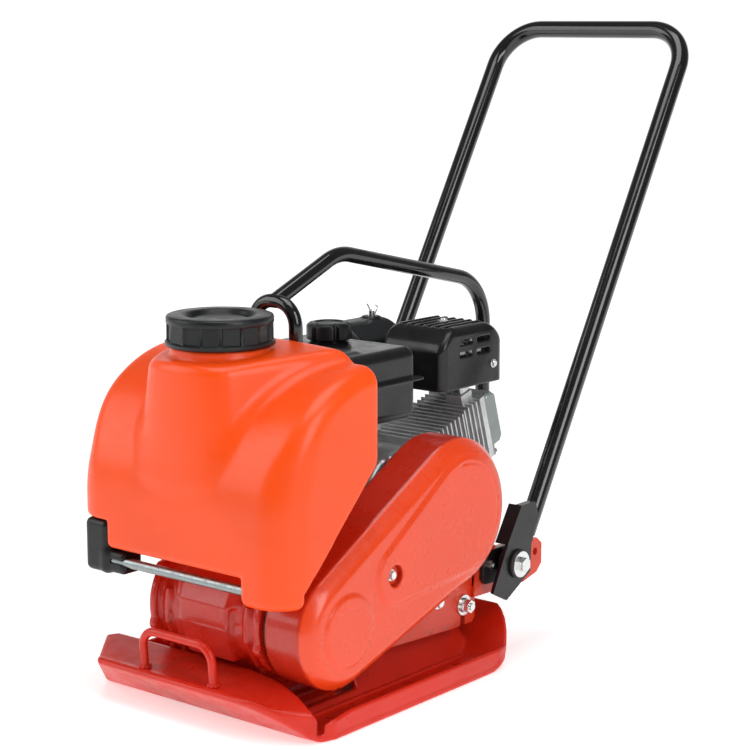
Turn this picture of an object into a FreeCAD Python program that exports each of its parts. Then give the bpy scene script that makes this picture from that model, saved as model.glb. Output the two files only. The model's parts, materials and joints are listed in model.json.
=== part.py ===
import FreeCAD, Part
import math
import os

# Forward plate compactor, modelled in millimetres.
# +Z is up, +X is the belt-cover side, -Y is the front and +Y is the operator's side.
# The origin is the centre of the flat sole, on the ground.

V = FreeCAD.Vector
os.makedirs("parts", exist_ok=True)

# Running clearance of shafts and pins, and the gap kept between moving neighbours
FIT = 0.05
GAP = 0.4
# Volume under which an offcut of a welded plate is dropped
SLIVER = 600.0

# Sole plate
PLATE_HALF_WIDTH = 210.0
PLATE_THICK = 8.0
SOLE_FRONT = -185.0
SOLE_REAR = 162.0
LIP_FRONT = -258.0
LIP_REAR = 254.0
SIDE_STRIP_TOP = 31.0

# Exciter and drive
EXCITER = (-130.0, 132.0)
EXCITER_RADIUS = 76.0
EXCITER_X = (-90.0, 110.0)
CRANK = (117.0, 238.0)
BELT_PLANE = 153.0
EXCITER_PULLEY_RADIUS = 46.0
DRUM_RADIUS = 56.0

# Belt cover
COVER_SMALL_RADIUS = 81.0
COVER_BIG_RADIUS = 106.0
COVER_BACK = 122.5
COVER_RIM = 180.0
COVER_FACE = 200.0
COVER_BEVEL = 24.0
COVER_WALL = 3.0
COVER_WELL = (-37.0, 186.0)

# Engine base
DECK_TOP = 132.0
DECK_THICK = 8.0
DECK_FRONT = -20.0
DECK_REAR = 225.0
BASE_SIDE = 150.0
BASE_WALL = 8.0
STUD_REAR = (177.0, 88.0)
STUD_FRONT = (0.0, 100.0)

# Engine
CYLINDER_TILT = 17.0
CYLINDER_X = 22.0
BORE_RADIUS = 30.0
FUEL_NECK = (-40.0, 108.0)
CLEANER_STUD = (-100.0, 276.0)

# Handle
HANDLE_TUBE = 27.2
HANDLE_HALF_WIDTH = 174.0
HANDLE_TOP = 893.0
HANDLE_LEAN = 0.595
HANDLE_FOOT_Z = 174.0
HANDLE_BEND = 68.0
PIVOT = (258.0, 138.0)
PIVOT_RADIUS = 6.0

# Lifting frame
FRAME_TUBE = 22.0
LOOP_TUBE = 19.0
LOOP_Y = -50.0
LOOP_HALF = 37.0
FRAME_REAR = 424.0
FRAME_BEND = 80.0

# Water tank
TANK_HALF_WIDTH = 192.0
TANK_CORNER = 58.0
TANK_SWEEP = 190.0
TANK_SWEEP_CENTRE = (-60.0, 280.0)
TANK_WALL = 4.0
HUMP_CENTRE = (0.0, -168.0)
HUMP_RADIUS = 84.0
HUMP_REAR_HALF = 141.0
NECK_Y = -157.0
NECK_RADIUS = 52.0
COLLAR_RADIUS = 66.0
NECK_BOTTOM = 490.2
CAP_RADIUS = 70.0


# ---------------------------------------------------------------- basic shapes

def box(low, high):
    """Box between two opposite corners."""
    size = [high[i] - low[i] for i in range(3)]
    return Part.makeBox(size[0], size[1], size[2], V(*low))


def disc(axis, radius, start, end, at):
    """Cylinder along "x", "y" or "z" from start to end; at holds the two other coordinates."""
    base, direction = {
        "x": (V(start, at[0], at[1]), V(1, 0, 0)),
        "y": (V(at[0], start, at[1]), V(0, 1, 0)),
        "z": (V(at[0], at[1], start), V(0, 0, 1)),
    }[axis]
    return Part.makeCylinder(radius, end - start, base, direction)


def ring(axis, outer, inner, start, end, at):
    """Tube with a bore right through it."""
    return disc(axis, outer, start, end, at).cut(disc(axis, inner, start - 1, end + 1, at))


def prism(axis, outline, start, end):
    """Closed outline in the plane across an axis, pushed along that axis."""
    if axis == "x":
        points = [V(start, a, b) for a, b in outline]
        push = V(end - start, 0, 0)
    elif axis == "y":
        points = [V(a, start, b) for a, b in outline]
        push = V(0, end - start, 0)
    else:
        points = [V(a, b, start) for a, b in outline]
        push = V(0, 0, end - start)
    wire = Part.makePolygon(points + points[:1])
    return Part.Face(wire).extrude(push)


def arc_points(centre, radius, first, last, count):
    """Points along an arc, angles in degrees."""
    step = (last - first) / (count - 1)
    angles = [math.radians(first + step * i) for i in range(count)]
    return [(centre[0] + radius * math.cos(a), centre[1] + radius * math.sin(a)) for a in angles]


def rounded(left, low, right, high, radius, count=5):
    """Corner points of a rectangle with rounded corners."""
    points = []
    for x, y, first in ((right - radius, low + radius, -90), (right - radius, high - radius, 0),
                        (left + radius, high - radius, 90), (left + radius, low + radius, 180)):
        points += arc_points((x, y), radius, first, first + 90, count)
    return points


def tube(points, radius, bend):
    """Round bar through the points, with an arc of the bend radius at each inner point."""
    path = [V(*p) for p in points]
    edges = []
    here = path[0]
    for before, corner, after in zip(path, path[1:], path[2:]):
        inward = (before - corner).normalize()
        outward = (after - corner).normalize()
        half = inward.getAngle(outward) / 2
        reach = bend / math.tan(half)
        start = corner + inward * reach
        finish = corner + outward * reach
        middle_way = (inward + outward).normalize()
        middle = corner + middle_way * (bend / math.sin(half) - bend)
        edges.append(Part.LineSegment(here, start).toShape())
        edges.append(Part.Arc(start, middle, finish).toShape())
        here = finish
    edges.append(Part.LineSegment(here, path[-1]).toShape())
    section = Part.Wire(Part.Circle(path[0], path[1] - path[0], radius).toShape())
    return Part.Wire(edges).makePipeShell([section], True, False)


def fuse(shapes):
    """One solid from touching or overlapping solids."""
    first = shapes[0]
    return first.multiFuse(shapes[1:]).removeSplitter() if len(shapes) > 1 else first


def cut(shape, tools):
    """Shape less every tool."""
    for tool in tools:
        shape = shape.cut(tool)
    return shape


def flip(shape):
    """Copy mirrored to the other side of the machine."""
    return shape.mirror(V(0, 0, 0), V(1, 0, 0))


def both_sides(shape):
    """The shape and its mirror image."""
    return [shape, flip(shape)]


def aim(shape, position, direction):
    """Turn a shape built along +Z towards a direction and move it to a position."""
    turned = shape.copy()
    turn = FreeCAD.Rotation(V(0, 0, 1), V(*direction))
    turned.Placement = FreeCAD.Placement(V(*position), turn)
    return turned


def hexagon(across, height):
    """Hexagonal prism, across flats, standing on the origin."""
    corner = across / math.sqrt(3)
    points = [V(corner * math.cos(math.radians(60 * i)), corner * math.sin(math.radians(60 * i)), 0)
              for i in range(7)]
    return Part.Face(Part.makePolygon(points)).extrude(V(0, 0, height))


def bolt(position, direction, across=10.0, head=4.5, shank=5.0, washer=0.0):
    """Hexagon-headed bolt, its head towards the direction and its seat at the position."""
    solid = hexagon(across, head)
    crown = Part.makeCone(across * 0.62, across * 0.42, head)
    solid = solid.common(crown.fuse(Part.makeCylinder(across * 0.62, head * 0.7)))
    if washer:
        solid = solid.fuse(Part.makeCylinder(washer, 1.6))
    stem = Part.makeCylinder(across * 0.28, shank, V(0, 0, -shank))
    return aim(solid.fuse(stem), position, direction)


def two_circle_outline(inset, lower_bulge=5.0):
    """Wire round the small and big ends of the belt cover, inset from the rim."""
    small = COVER_SMALL_RADIUS - inset
    big = COVER_BIG_RADIUS - inset
    dy = CRANK[0] - EXCITER[0]
    dz = CRANK[1] - EXCITER[1]
    span = math.hypot(dy, dz)
    slope = math.atan2(dz, dy)
    flare = math.asin((big - small) / span)

    def on(centre, radius, angle):
        return V(0, centre[0] + radius * math.cos(angle), centre[1] + radius * math.sin(angle))

    top = slope + math.pi / 2 + flare
    low = slope - math.pi / 2 - flare
    small_top = on(EXCITER, small, top)
    small_low = on(EXCITER, small, low)
    big_top = on(CRANK, big, top)
    big_low = on(CRANK, big, low)
    middle = (small_low + big_low) * 0.5
    sag = V(0, math.sin(slope), -math.cos(slope)) * lower_bulge
    edges = [
        Part.Arc(small_top, on(EXCITER, small, slope + math.pi), small_low).toShape(),
        Part.Arc(small_low, middle + sag, big_low).toShape(),
        Part.Arc(big_low, on(CRANK, big, slope), big_top).toShape(),
        Part.LineSegment(big_top, small_top).toShape(),
    ]
    return Part.Wire(edges)


def at_x(wire, x):
    """Copy of a wire drawn at x = 0, moved to another x."""
    moved = wire.copy()
    moved.translate(V(x, 0, 0))
    return moved


def welded(plates):
    """Plates that meet face to face, each cut back to the ones before it."""
    placed = []
    for plate in plates:
        fitted = cut(plate, placed) if placed else plate
        placed += [solid for solid in fitted.Solids if solid.Volume > SLIVER]
    return Part.makeCompound(placed)


def save(name, *shapes):
    """Write one node; several solids stay separate in it."""
    solids = [solid for shape in shapes for solid in shape.Solids]
    node = solids[0] if len(solids) == 1 else Part.makeCompound(solids)
    node.exportStep("parts/" + name + ".step")


# ------------------------------------------------------------------ base plate

def plate_plan():
    """Plan of the sole, its front corners rounded off more than its rear ones."""
    half = [(0, -262.0), (105.0, -260.0)] + arc_points((105.0, -153.0), 107.0, -80, -30, 5)
    half += [(PLATE_HALF_WIDTH, -170.0), (PLATE_HALF_WIDTH, 165.0)]
    half += arc_points((128.0, 172.0), 84.0, 10, 80, 8) + [(120.0, 256.0), (0, 256.0)]
    return half + [(-a, b) for a, b in half[::-1]]


def sole():
    """Pressed sole, turned up at both ends, with a rounded plan."""
    front_turn = arc_points((SOLE_FRONT, 30.0), 30.0, 270, 228, 6)
    rear_turn = arc_points((SOLE_REAR, 62.0), 62.0, 270, 318, 7)
    under = [(LIP_FRONT, 53.0)] + front_turn[::-1] + rear_turn + [(LIP_REAR, 72.0)]
    over_front = arc_points((SOLE_FRONT, 30.0), 30.0 - PLATE_THICK, 270, 228, 6)
    over_rear = arc_points((SOLE_REAR, 62.0), 62.0 - PLATE_THICK, 270, 318, 7)
    over = [(LIP_REAR - 8.0, 77.0)] + over_rear[::-1] + over_front + [(LIP_FRONT + 5.0, 60.0)]
    sheet = prism("x", under + over, -PLATE_HALF_WIDTH + 6, PLATE_HALF_WIDTH - 6)
    return sheet.common(prism("z", plate_plan(), -1, 120))


def side_strip():
    """Bent-up edge along the right side of the sole."""
    outer = PLATE_HALF_WIDTH
    section = (arc_points((outer - 15, 15.0), 15.0, 270, 360, 6) + [(outer, 60.0), (outer - 7, 60.0)]
               + arc_points((outer - 15, 15.0), 8.0, 360, 270, 5))
    strip = prism("y", section, -228.0, 236.0)
    profile = [(-222.0, 30.0), (-214.0, 38.0), (-200.0, 35.0), (-170.0, SIDE_STRIP_TOP),
               (205.0, SIDE_STRIP_TOP), (226.0, 30.0), (206.0, 12.0), (SOLE_REAR + 8, 0),
               (SOLE_FRONT, 0), (SOLE_FRONT - 18, 8.0)]
    return strip.common(prism("x", profile, 150, outer + 1)).common(prism("z", plate_plan(), -1, 120))


def front_strip():
    """Cover strip on the front lip: level on the left, bent down to the side strip on the right."""
    upper = [(-PLATE_HALF_WIDTH, 60.0)] + arc_points((95.0, -190.0), 250.0, 90, 63, 7)
    lower = [(a, b - 6.0) for a, b in upper[::-1]]
    points = [V(a, -266.0, b - 4.0) for a, b in upper + lower]
    slab = Part.Face(Part.makePolygon(points + points[:1])).extrude(V(0, 120.0, 15.0))
    front = [(0, -261.0), (105.0, -260.0)] + arc_points((105.0, -153.0), 107.0, -80, -30, 5)
    rear = [(207.0, -205.0), (165.0, -193.0), (113.0, -183.0), (68.0, -176.0), (0, -174.0)]
    left = [(-150.0, -174.0), (-183.0, -186.0), (-124.0, -258.0)]
    strip = slab.common(prism("z", front + rear + left, 0, 120))
    corner = [(-183.0, -186.0), (-178.0, -180.0), (-118.0, -252.0), (-124.0, -258.0)]
    return fuse([strip, prism("z", corner, 20.0, 54.0)])


def beam():
    """Bent plate welded to the sole; it carries the rubber mounts of one side."""
    section = [(137.0, 6.0), (145.0, 6.0), (117.0, 62.0), (117.0, 112.0), (109.0, 112.0), (109.0, 60.0)]
    plate = prism("y", section, -44.0, 203.0)
    gusset = prism("y", [(134.0, 4.0), (204.0, 4.0), (204.0, 24.0)], 42.0, 47.0)
    return fuse([plate, gusset])


def base_plate():
    pad = box((-88, EXCITER[0] - 42, 4), (108, EXCITER[0] + 74, 14))
    holes = [disc("x", 5.2, 100, 126, at) for at in (STUD_REAR, STUD_FRONT)]
    beams = both_sides(cut(beam(), holes))
    return welded([fuse([sole(), pad, front_strip()])] + both_sides(side_strip()) + beams)


def front_grip():
    """Bent bar on the front strip, to lift and to tie down."""
    legs = 63.0
    foot = 58.5
    route = [(-legs, -244.0, foot), (-legs, -248.0, 113.0), (legs, -248.0, 113.0), (legs, -244.0, foot)]
    return tube(route, 5.8, 24.0)


# --------------------------------------------------------------------- exciter

def exciter_housing():
    """Cast oil-tight housing of the eccentric shaft, with its foot and its front panel."""
    left, right = EXCITER_X
    y, z = EXCITER
    barrel = disc("x", EXCITER_RADIUS - 6, left, right, EXCITER)
    flanges = [disc("x", EXCITER_RADIUS + 4, left, left + 12, EXCITER),
               disc("x", EXCITER_RADIUS + 4, right - 12, right, EXCITER)]
    foot = box((left, y - 40, 14.0), (right, y + 72, 28.0))
    web = box((left + 12, y - 36, 20.0), (right - 12, y + 46, z))
    panel = prism("x", [(y - 62, z + 34), (y - 67, z - 6), (y - 46, z - 48), (y - 20, z - 48),
                        (y - 20, z + 60)], -40.0, 60.0)
    panel_top = prism("x", [(y - 64, z + 12), (y - 64, z + 42), (y - 40, z + 62), (y, z + 60), (y, z)],
                      -48.0, 68.0)
    feet_ribs = [box((x - 5, y - 36, 20.0), (x + 5, y + 60, z - 20)) for x in (left + 6, right - 6)]
    cavity = disc("x", EXCITER_RADIUS - 18, left + 14, right - 14, EXCITER)
    bores = [disc("x", 36.0, left - 1, right + 1, EXCITER)]
    solid = fuse([barrel, foot, web, panel, panel_top] + flanges + feet_ribs)
    trim = box((left - 1, y - 120, 0), (right + 1, y + 120, 14.0))
    strip_room = box((left - 1, y - 120, 0), (right + 1, y - 41.5, 73.0))
    return cut(solid, [cavity, trim, strip_room] + bores)


def exciter_cover_left():
    x = EXCITER_X[0]
    plate = disc("x", 62.0, x - 8, x, EXCITER)
    boss = disc("x", 34.0, x - 14, x - 8, EXCITER)
    spigot = disc("x", 35.9, x, x + 4, EXCITER)
    return fuse([plate, boss, spigot])


def exciter_cover_right():
    x = EXCITER_X[1]
    plate = ring("x", 62.0, 17.6, x, x + 7, EXCITER)
    return fuse([plate, ring("x", 35.9, 17.6, x - 4, x, EXCITER)])


def exciter_bearings():
    """Two bearing rings, pressed in the housing walls."""
    left, right = EXCITER_X
    outer, inner = 35.95, 17.5 + FIT
    return [ring("x", outer, inner, left + 4, left + 14, EXCITER),
            ring("x", outer, inner, right - 14, right - 4, EXCITER)]


def exciter_bolts():
    """Cover bolts of both ends and two foot bolts."""
    bolts = []
    for turn in range(6):
        angle = math.radians(60 * turn + 30)
        y = EXCITER[0] + 49 * math.cos(angle)
        z = EXCITER[1] + 49 * math.sin(angle)
        bolts.append(bolt((EXCITER_X[0] - 8, y, z), (-1, 0, 0), 12, 5))
        bolts.append(bolt((EXCITER_X[1] + 7, y, z), (1, 0, 0), 8, 2.5))
    for x in (EXCITER_X[0] + 24, EXCITER_X[1] - 24):
        bolts.append(bolt((x, EXCITER[0] + 60, 28.0), (0, 0, 1), 17, 8, 8))
    return bolts


def eccentric_shaft():
    left, right = EXCITER_X
    journal = disc("x", 17.5, left + 6, right + 12, EXCITER)
    middle = disc("x", 22.0, left + 18, right - 18, EXCITER)
    nose = disc("x", 12.0, right + 12, 172.0, EXCITER)
    return fuse([journal, middle, nose])


def eccentric_weights():
    """Half-disc weight clamped on the middle of the shaft."""
    block = disc("x", 54.0, -45.0, 65.0, EXCITER)
    upper = box((-46, EXCITER[0] - 60, EXCITER[1]), (66, EXCITER[0] + 60, EXCITER[1] + 60))
    block = block.cut(upper).fuse(disc("x", 30.0, -45.0, 65.0, EXCITER))
    return block.cut(disc("x", 22.0, -46.0, 66.0, EXCITER))


def vee_pulley(radius, centre, bore, hub):
    """Single-groove pulley round an X axis, in the plane of the belt."""
    x = BELT_PLANE
    rim = disc("x", radius, x - 9, x + 9, centre)
    groove = [(x - 7.0, radius + 1), (x - 4.5, radius - 10), (x + 4.5, radius - 10), (x + 7.0, radius + 1)]
    points = [V(a, centre[0] + b, centre[1]) for a, b in groove]
    cutter = Part.Face(Part.makePolygon(points + points[:1])).revolve(V(0, *centre), V(1, 0, 0), 360)
    body = fuse([rim, disc("x", hub, x - 14, x + 13, centre)])
    return cut(body, [cutter, disc("x", bore, x - 20, x + 20, centre)])


def exciter_pulley():
    return vee_pulley(EXCITER_PULLEY_RADIUS, EXCITER, 12.0, 22.0)


def belt():
    """V-belt round both pulleys, seated in their grooves."""
    def loop(drum, wheel, half_low, half_high):
        dy, dz = CRANK[0] - EXCITER[0], CRANK[1] - EXCITER[1]
        slope = math.atan2(dz, dy)
        flare = math.asin((drum - wheel) / math.hypot(dy, dz))
        top, low = slope + math.pi / 2 + flare, slope - math.pi / 2 - flare

        def on(centre, radius, angle):
            return V(0, centre[0] + radius * math.cos(angle), centre[1] + radius * math.sin(angle))
        points = [on(EXCITER, wheel, top), on(EXCITER, wheel, low),
                  on(CRANK, drum, low), on(CRANK, drum, top)]
        edges = [Part.Arc(points[0], on(EXCITER, wheel, slope + math.pi), points[1]).toShape(),
                 Part.LineSegment(points[1], points[2]).toShape(),
                 Part.Arc(points[2], on(CRANK, drum, slope), points[3]).toShape(),
                 Part.LineSegment(points[3], points[0]).toShape()]
        wire = at_x(Part.Wire(edges), BELT_PLANE - half_low)
        return Part.Face(wire).extrude(V(half_low + half_high, 0, 0))
    outer = loop(DRUM_RADIUS - 0.5, EXCITER_PULLEY_RADIUS - 0.5, 4.4, 4.4)
    inner = loop(DRUM_RADIUS - 8.5, EXCITER_PULLEY_RADIUS - 8.5, 6.0, 6.0)
    return outer.cut(inner)


# ----------------------------------------------------------------- engine base

def side_plate():
    """Right side of the engine base, with the slots that drop over the mount studs."""
    outline = [(DECK_FRONT, 67.0), (155.0, 58.0), (199.0, 58.0), (205.0, 64.0), (205.0, 118.0),
               (196.0, DECK_TOP), (40.0, DECK_TOP), (18.0, 114.0), (DECK_FRONT, 112.0)]
    plate = prism("x", outline, BASE_SIDE - BASE_WALL, BASE_SIDE)
    slot = box((140, STUD_REAR[0] - 5.2, 50.0), (152, STUD_REAR[0] + 5.2, STUD_REAR[1]))
    holes = [disc("x", 5.2, 140, 152, at) for at in (STUD_REAR, STUD_FRONT)]
    return cut(plate, [slot] + holes)


def lug():
    """Rear ear that carries the handle pivot and the tie-down hole."""
    outline = [(195.0, 96.0), (318.0, 92.0), (352.0, 100.0), (364.0, 112.0), (364.0, 142.0),
               (352.0, 152.0), (330.0, 153.0), (230.0, 158.0), (203.0, 160.0)]
    plate = prism("x", outline, BASE_SIDE - BASE_WALL, BASE_SIDE + 6)
    ledge = box((BASE_SIDE - 4, 204.0, 161.0), (BASE_SIDE + 13.5, 236.0, 166.0))
    web = box((BASE_SIDE - 6, 204.0, 150.0), (BASE_SIDE + 6, 236.0, 164.0))
    ear = fuse([plate, ledge, web])
    tie_hole = disc("x", 5.5, 130, 170, (347.0, 132.0))
    return cut(ear, [tie_hole, disc("x", PIVOT_RADIUS + FIT, 130, 170, PIVOT)])


def tank_rest():
    """Channel at the front of the deck that the water tank sits on, notched for the loop legs."""
    post = box((-95, -36, DECK_TOP - DECK_THICK), (95, -28, 214.0))
    shelf = box((-95, -104, 209.5), (95, -28, 214.0))
    neck = fuse([box((-95, -48, DECK_TOP - DECK_THICK), (95, DECK_FRONT + 60, DECK_TOP)),
                 box((-50, -59.7, DECK_TOP - DECK_THICK), (50, -40, DECK_TOP))])
    notches = [disc("z", LOOP_TUBE / 2 + 0.3, DECK_TOP, 220.0, (x, LOOP_Y))
               for x in (-LOOP_HALF, LOOP_HALF)]
    return cut(fuse([post, shelf, neck]), notches)


def engine_base():
    deck = box((-BASE_SIDE, 40.0, DECK_TOP - DECK_THICK), (BASE_SIDE, DECK_REAR, DECK_TOP))
    tongue = box((-106, DECK_FRONT, DECK_TOP - DECK_THICK), (106, 41.0, DECK_TOP))
    rear = box((-BASE_SIDE, DECK_REAR - 8, 96.0), (BASE_SIDE, DECK_REAR, DECK_TOP + 20))
    outrigger = box((-30, DECK_REAR - 4, DECK_TOP - 6), (30, DECK_REAR + 60, DECK_TOP + 6))
    sides = both_sides(side_plate()) + both_sides(lug())
    return welded(sides + [fuse([deck, tongue]), fuse([rear, outrigger]), tank_rest()])


def shock_mounts():
    """Four rubber cylinders between the beams and the engine base."""
    mounts = []
    for at in (STUD_REAR, STUD_FRONT):
        waist = ring("x", 19.0, 5.0, 117.2, 141.8, at)
        collars = [ring("x", 21.5, 5.0, x, x + 5, at) for x in (117.2, 136.8)]
        mounts += both_sides(fuse([waist] + collars))
    return mounts


def mount_nuts():
    """Studs with washer and nut outside the engine base."""
    nuts = []
    for at in (STUD_REAR, STUD_FRONT):
        stud = disc("x", 4.95, 106.0, 168.0, at)
        washer = disc("x", 15.0 if at == STUD_REAR else 11.0, BASE_SIDE, BASE_SIDE + 3, at)
        collar = disc("x", 10.5, BASE_SIDE + 3, BASE_SIDE + 7, at)
        nut = aim(hexagon(17.0, 8.0), (BASE_SIDE + 7, at[0], at[1]), (1, 0, 0))
        nuts += both_sides(fuse([stud, washer, collar, nut]))
    return nuts


def outer_bolts():
    """Hexagon bolts with washers on the sides of the engine base and in the belt cover's well."""
    bolts = [bolt((COVER_FACE - 10, *COVER_WELL), (1, 0, 0), 12, 6, 2.9, washer=8)]
    for y, z in ((117.0, 105.5), (8.0, 77.5)):
        bolts += both_sides(bolt((BASE_SIDE, y, z), (1, 0, 0), 14, 8, 4, washer=10))
    return bolts


# ---------------------------------------------------------------------- engine

def along(distance, across=0.0):
    """Point of the cylinder axis in the Y-Z plane, offset square to it."""
    tilt = math.radians(CYLINDER_TILT)
    y = CRANK[0] + distance * math.cos(tilt) - across * math.sin(tilt)
    z = CRANK[1] + distance * math.sin(tilt) + across * math.cos(tilt)
    return (y, z)


def slab_on_axis(start, end, low, high, x0, x1):
    """Block squared to the cylinder axis."""
    outline = [along(start, low), along(end, low), along(end, high), along(start, high)]
    return prism("x", outline, x0, x1)


def crankcase():
    """Cast case with its foot, side cover and power take-off boss."""
    case = disc("x", 78.0, -70.0, 84.0, CRANK)
    sump = box((-70, 48, 150.0), (84, 198, 238.0))
    foot = box((-74, 36, DECK_TOP), (92, 208, 146.0))
    skirt = box((-66, 52, 140.0), (80, 194, 156.0))
    boss = disc("x", 44.0, 84.0, 104.0, CRANK)
    nose = disc("x", 28.0, 104.0, 112.0, CRANK)
    deck = slab_on_axis(60, 84, -50, 50, CYLINDER_X - 50, CYLINDER_X + 50)
    ribs = [box((84, y - 2.5, 146.0), (92, y + 2.5, 222.0)) for y in (72, 96, 138, 162)]
    solid = fuse([case, sump, foot, skirt, boss, nose, deck] + ribs)
    cavity = disc("x", 66.0, -60.0, 74.0, CRANK)
    bore = aim(Part.makeCylinder(BORE_RADIUS, 70), (CYLINDER_X,) + along(40), axis_direction())
    shaft = disc("x", 12.5 + FIT, -120.0, 130.0, CRANK)
    return cut(solid, [cavity, shaft, bore])


def axis_direction():
    tilt = math.radians(CYLINDER_TILT)
    return (0, math.cos(tilt), math.sin(tilt))


def cylinder_barrel():
    """Finned barrel between the case and the head."""
    core = slab_on_axis(84, 188, -38, 38, CYLINDER_X - 38, CYLINDER_X + 38)
    fins = [slab_on_axis(92 + 10 * i, 95 + 10 * i, -50, 50, CYLINDER_X - 50, CYLINDER_X + 50)
            for i in range(10)]
    bore = aim(Part.makeCylinder(BORE_RADIUS, 106), (CYLINDER_X,) + along(83), axis_direction())
    return fuse([core] + fins).cut(bore)


def cylinder_head():
    """Finned head with the intake and exhaust flanges."""
    core = slab_on_axis(188, 244, -40, 40, CYLINDER_X - 38, CYLINDER_X + 38)
    fins = [slab_on_axis(190 + 10 * i, 193 + 10 * i, -52, 52, CYLINDER_X - 48, CYLINDER_X + 48)
            for i in range(5)]
    deck = slab_on_axis(236, 246, -50, 50, CYLINDER_X - 44, CYLINDER_X + 44)
    outlet = slab_on_axis(206, 232, 30, 66, CYLINDER_X + 4, CYLINDER_X + 34)
    return fuse([core, deck, outlet] + fins)


def rocker_cover():
    """Pressed cover over the valve gear, with rounded corners."""
    lip = slab_on_axis(246, 250, -50, 50, CYLINDER_X - 44, CYLINDER_X + 44)
    corners = [(250, -42), (276, -42), (284, -34), (284, 34), (276, 42), (250, 42)]
    outline = [along(distance, across) for distance, across in corners]
    dome = prism("x", outline, CYLINDER_X - 36, CYLINDER_X + 36)
    edges = [e for e in dome.Edges if abs(e.tangentAt(e.FirstParameter).x) < 0.1]
    return fuse([dome.makeFillet(5.0, edges), lip])


def spark_plug():
    place = (CYLINDER_X + 20, ) + along(224, -52)
    direction = (0.35, 0.30, -0.89)
    body = aim(hexagon(16.0, 10.0), place, direction)
    stem = aim(Part.makeCylinder(5.0, 30.0), place, direction)
    return fuse([body, stem])


def plug_cap():
    """Rubber cap on the plug and the lead clipped along the case to the fan housing."""
    place = V(CYLINDER_X + 20, *along(224, -52)) + V(0.35, 0.30, -0.89).normalize() * 12
    cap = aim(Part.makeCylinder(8.5, 26.0), tuple(place), (0.35, 0.30, -0.89))
    hole = aim(Part.makeCylinder(5.0 + FIT, 19.0), tuple(place), (0.35, 0.30, -0.89))
    end = place + V(0.35, 0.30, -0.89).normalize() * 20
    lead = tube([tuple(end), (end.x - 30, end.y + 6, end.z - 16), (-40, end.y - 12, end.z - 10),
                 (-72.0, 220.0, 244.0)], 3.5, 14.0)
    return fuse([cap, lead]).cut(hole)


def fan_cover():
    """Blower housing round the flywheel, open towards the cylinder."""
    outer = disc("x", 94.0, -126.0, -76.0, CRANK)
    duct = prism("x", [(117.0, 200.0), (214.0, 224.0), (214.0, 332.0), (117.0, 332.0)], -126.0, -76.0)
    shell = fuse([outer, duct])
    inner = fuse([disc("x", 90.0, -122.0, -70.0, CRANK),
                  prism("x", [(117.0, 204.0), (210.0, 228.0), (210.0, 328.0), (117.0, 328.0)],
                        -122.0, -70.0)])
    mouth = disc("x", 62.0, -130.0, -110.0, CRANK)
    back = ring("x", 93.9, 80.0, -78.0, -75.0, CRANK)
    return cut(shell.cut(inner).fuse(back), [mouth])


def recoil_cover():
    """Starter housing with cooling slots, screwed on the blower housing."""
    dome = disc("x", 70.0, -150.0, -126.0, CRANK)
    crown = disc("x", 46.0, -156.0, -150.0, CRANK)
    guide = prism("x", [(170.0, 246.0), (196.0, 254.0), (196.0, 272.0), (170.0, 272.0)], -148.0, -128.0)
    solid = fuse([dome, crown, guide])
    cavity = disc("x", 66.0, -146.0, -125.0, CRANK)
    slots = []
    for turn in range(12):
        if turn in (0, 1):
            continue
        slot = box((-152, CRANK[0] + 50, CRANK[1] - 4), (-140, CRANK[0] + 62, CRANK[1] + 4))
        slot.rotate(V(0, *CRANK), V(1, 0, 0), 30 * turn + 12)
        slots.append(slot)
    rope_hole = disc("y", 4.0, 160.0, 200.0, (-138.0, 263.0))
    return cut(solid, [cavity, rope_hole] + slots)


def recoil_reel():
    reel = fuse([disc("x", 56.0, -145.0, -143.0, CRANK), disc("x", 48.0, -143.0, -135.0, CRANK),
                 disc("x", 56.0, -135.0, -133.0, CRANK)])
    return reel.cut(disc("x", 9.0, -146.0, -132.0, CRANK))


def starter_grip():
    """Moulded T-grip resting on the rope guide."""
    bar = box((-146, 201.0, 248.0), (-130, 215.0, 278.0))
    bar = bar.makeFillet(5.0, bar.Edges)
    neck = Part.makeCone(4.5, 6.5, 6.0, V(-138, 196.5, 263), V(0, 1, 0))
    return fuse([bar, neck])


def flywheel():
    """Flywheel with fan blades."""
    disc_body = disc("x", 78.0, -94.0, -84.0, CRANK)
    hub = disc("x", 30.0, -106.0, -84.0, CRANK)
    blades = []
    for turn in range(12):
        blade = box((-108, CRANK[0] + 46, CRANK[1] - 2), (-93, CRANK[0] + 78, CRANK[1] + 2))
        blade.rotate(V(0, *CRANK), V(1, 0, 0), 30 * turn)
        blades.append(blade)
    return fuse([disc_body, hub] + blades).cut(disc("x", 9.0, -110.0, -80.0, CRANK))


def crankshaft():
    """Crank with its webs, from the flywheel nose to the clutch."""
    journals = [disc("x", 12.5, -84.0, CYLINDER_X - 26, CRANK),
                disc("x", 12.5, CYLINDER_X + 26, 116.0, CRANK)]
    nose = disc("x", 9.0, -112.0, -84.0, CRANK)
    output = disc("x", 9.5, 116.0, 168.0, CRANK)
    y, z = CRANK
    pin = disc("x", 12.0, CYLINDER_X - 27, CYLINDER_X + 27, (y, z - 21.0))
    outline = [(y - 22, z - 38), (y + 22, z - 38), (y + 34, z + 40), (y - 34, z + 40)]
    webs = [prism("x", outline, x, x + 12) for x in (CYLINDER_X - 28, CYLINDER_X + 16)]
    return fuse(journals + [nose, output, pin] + webs)


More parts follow.
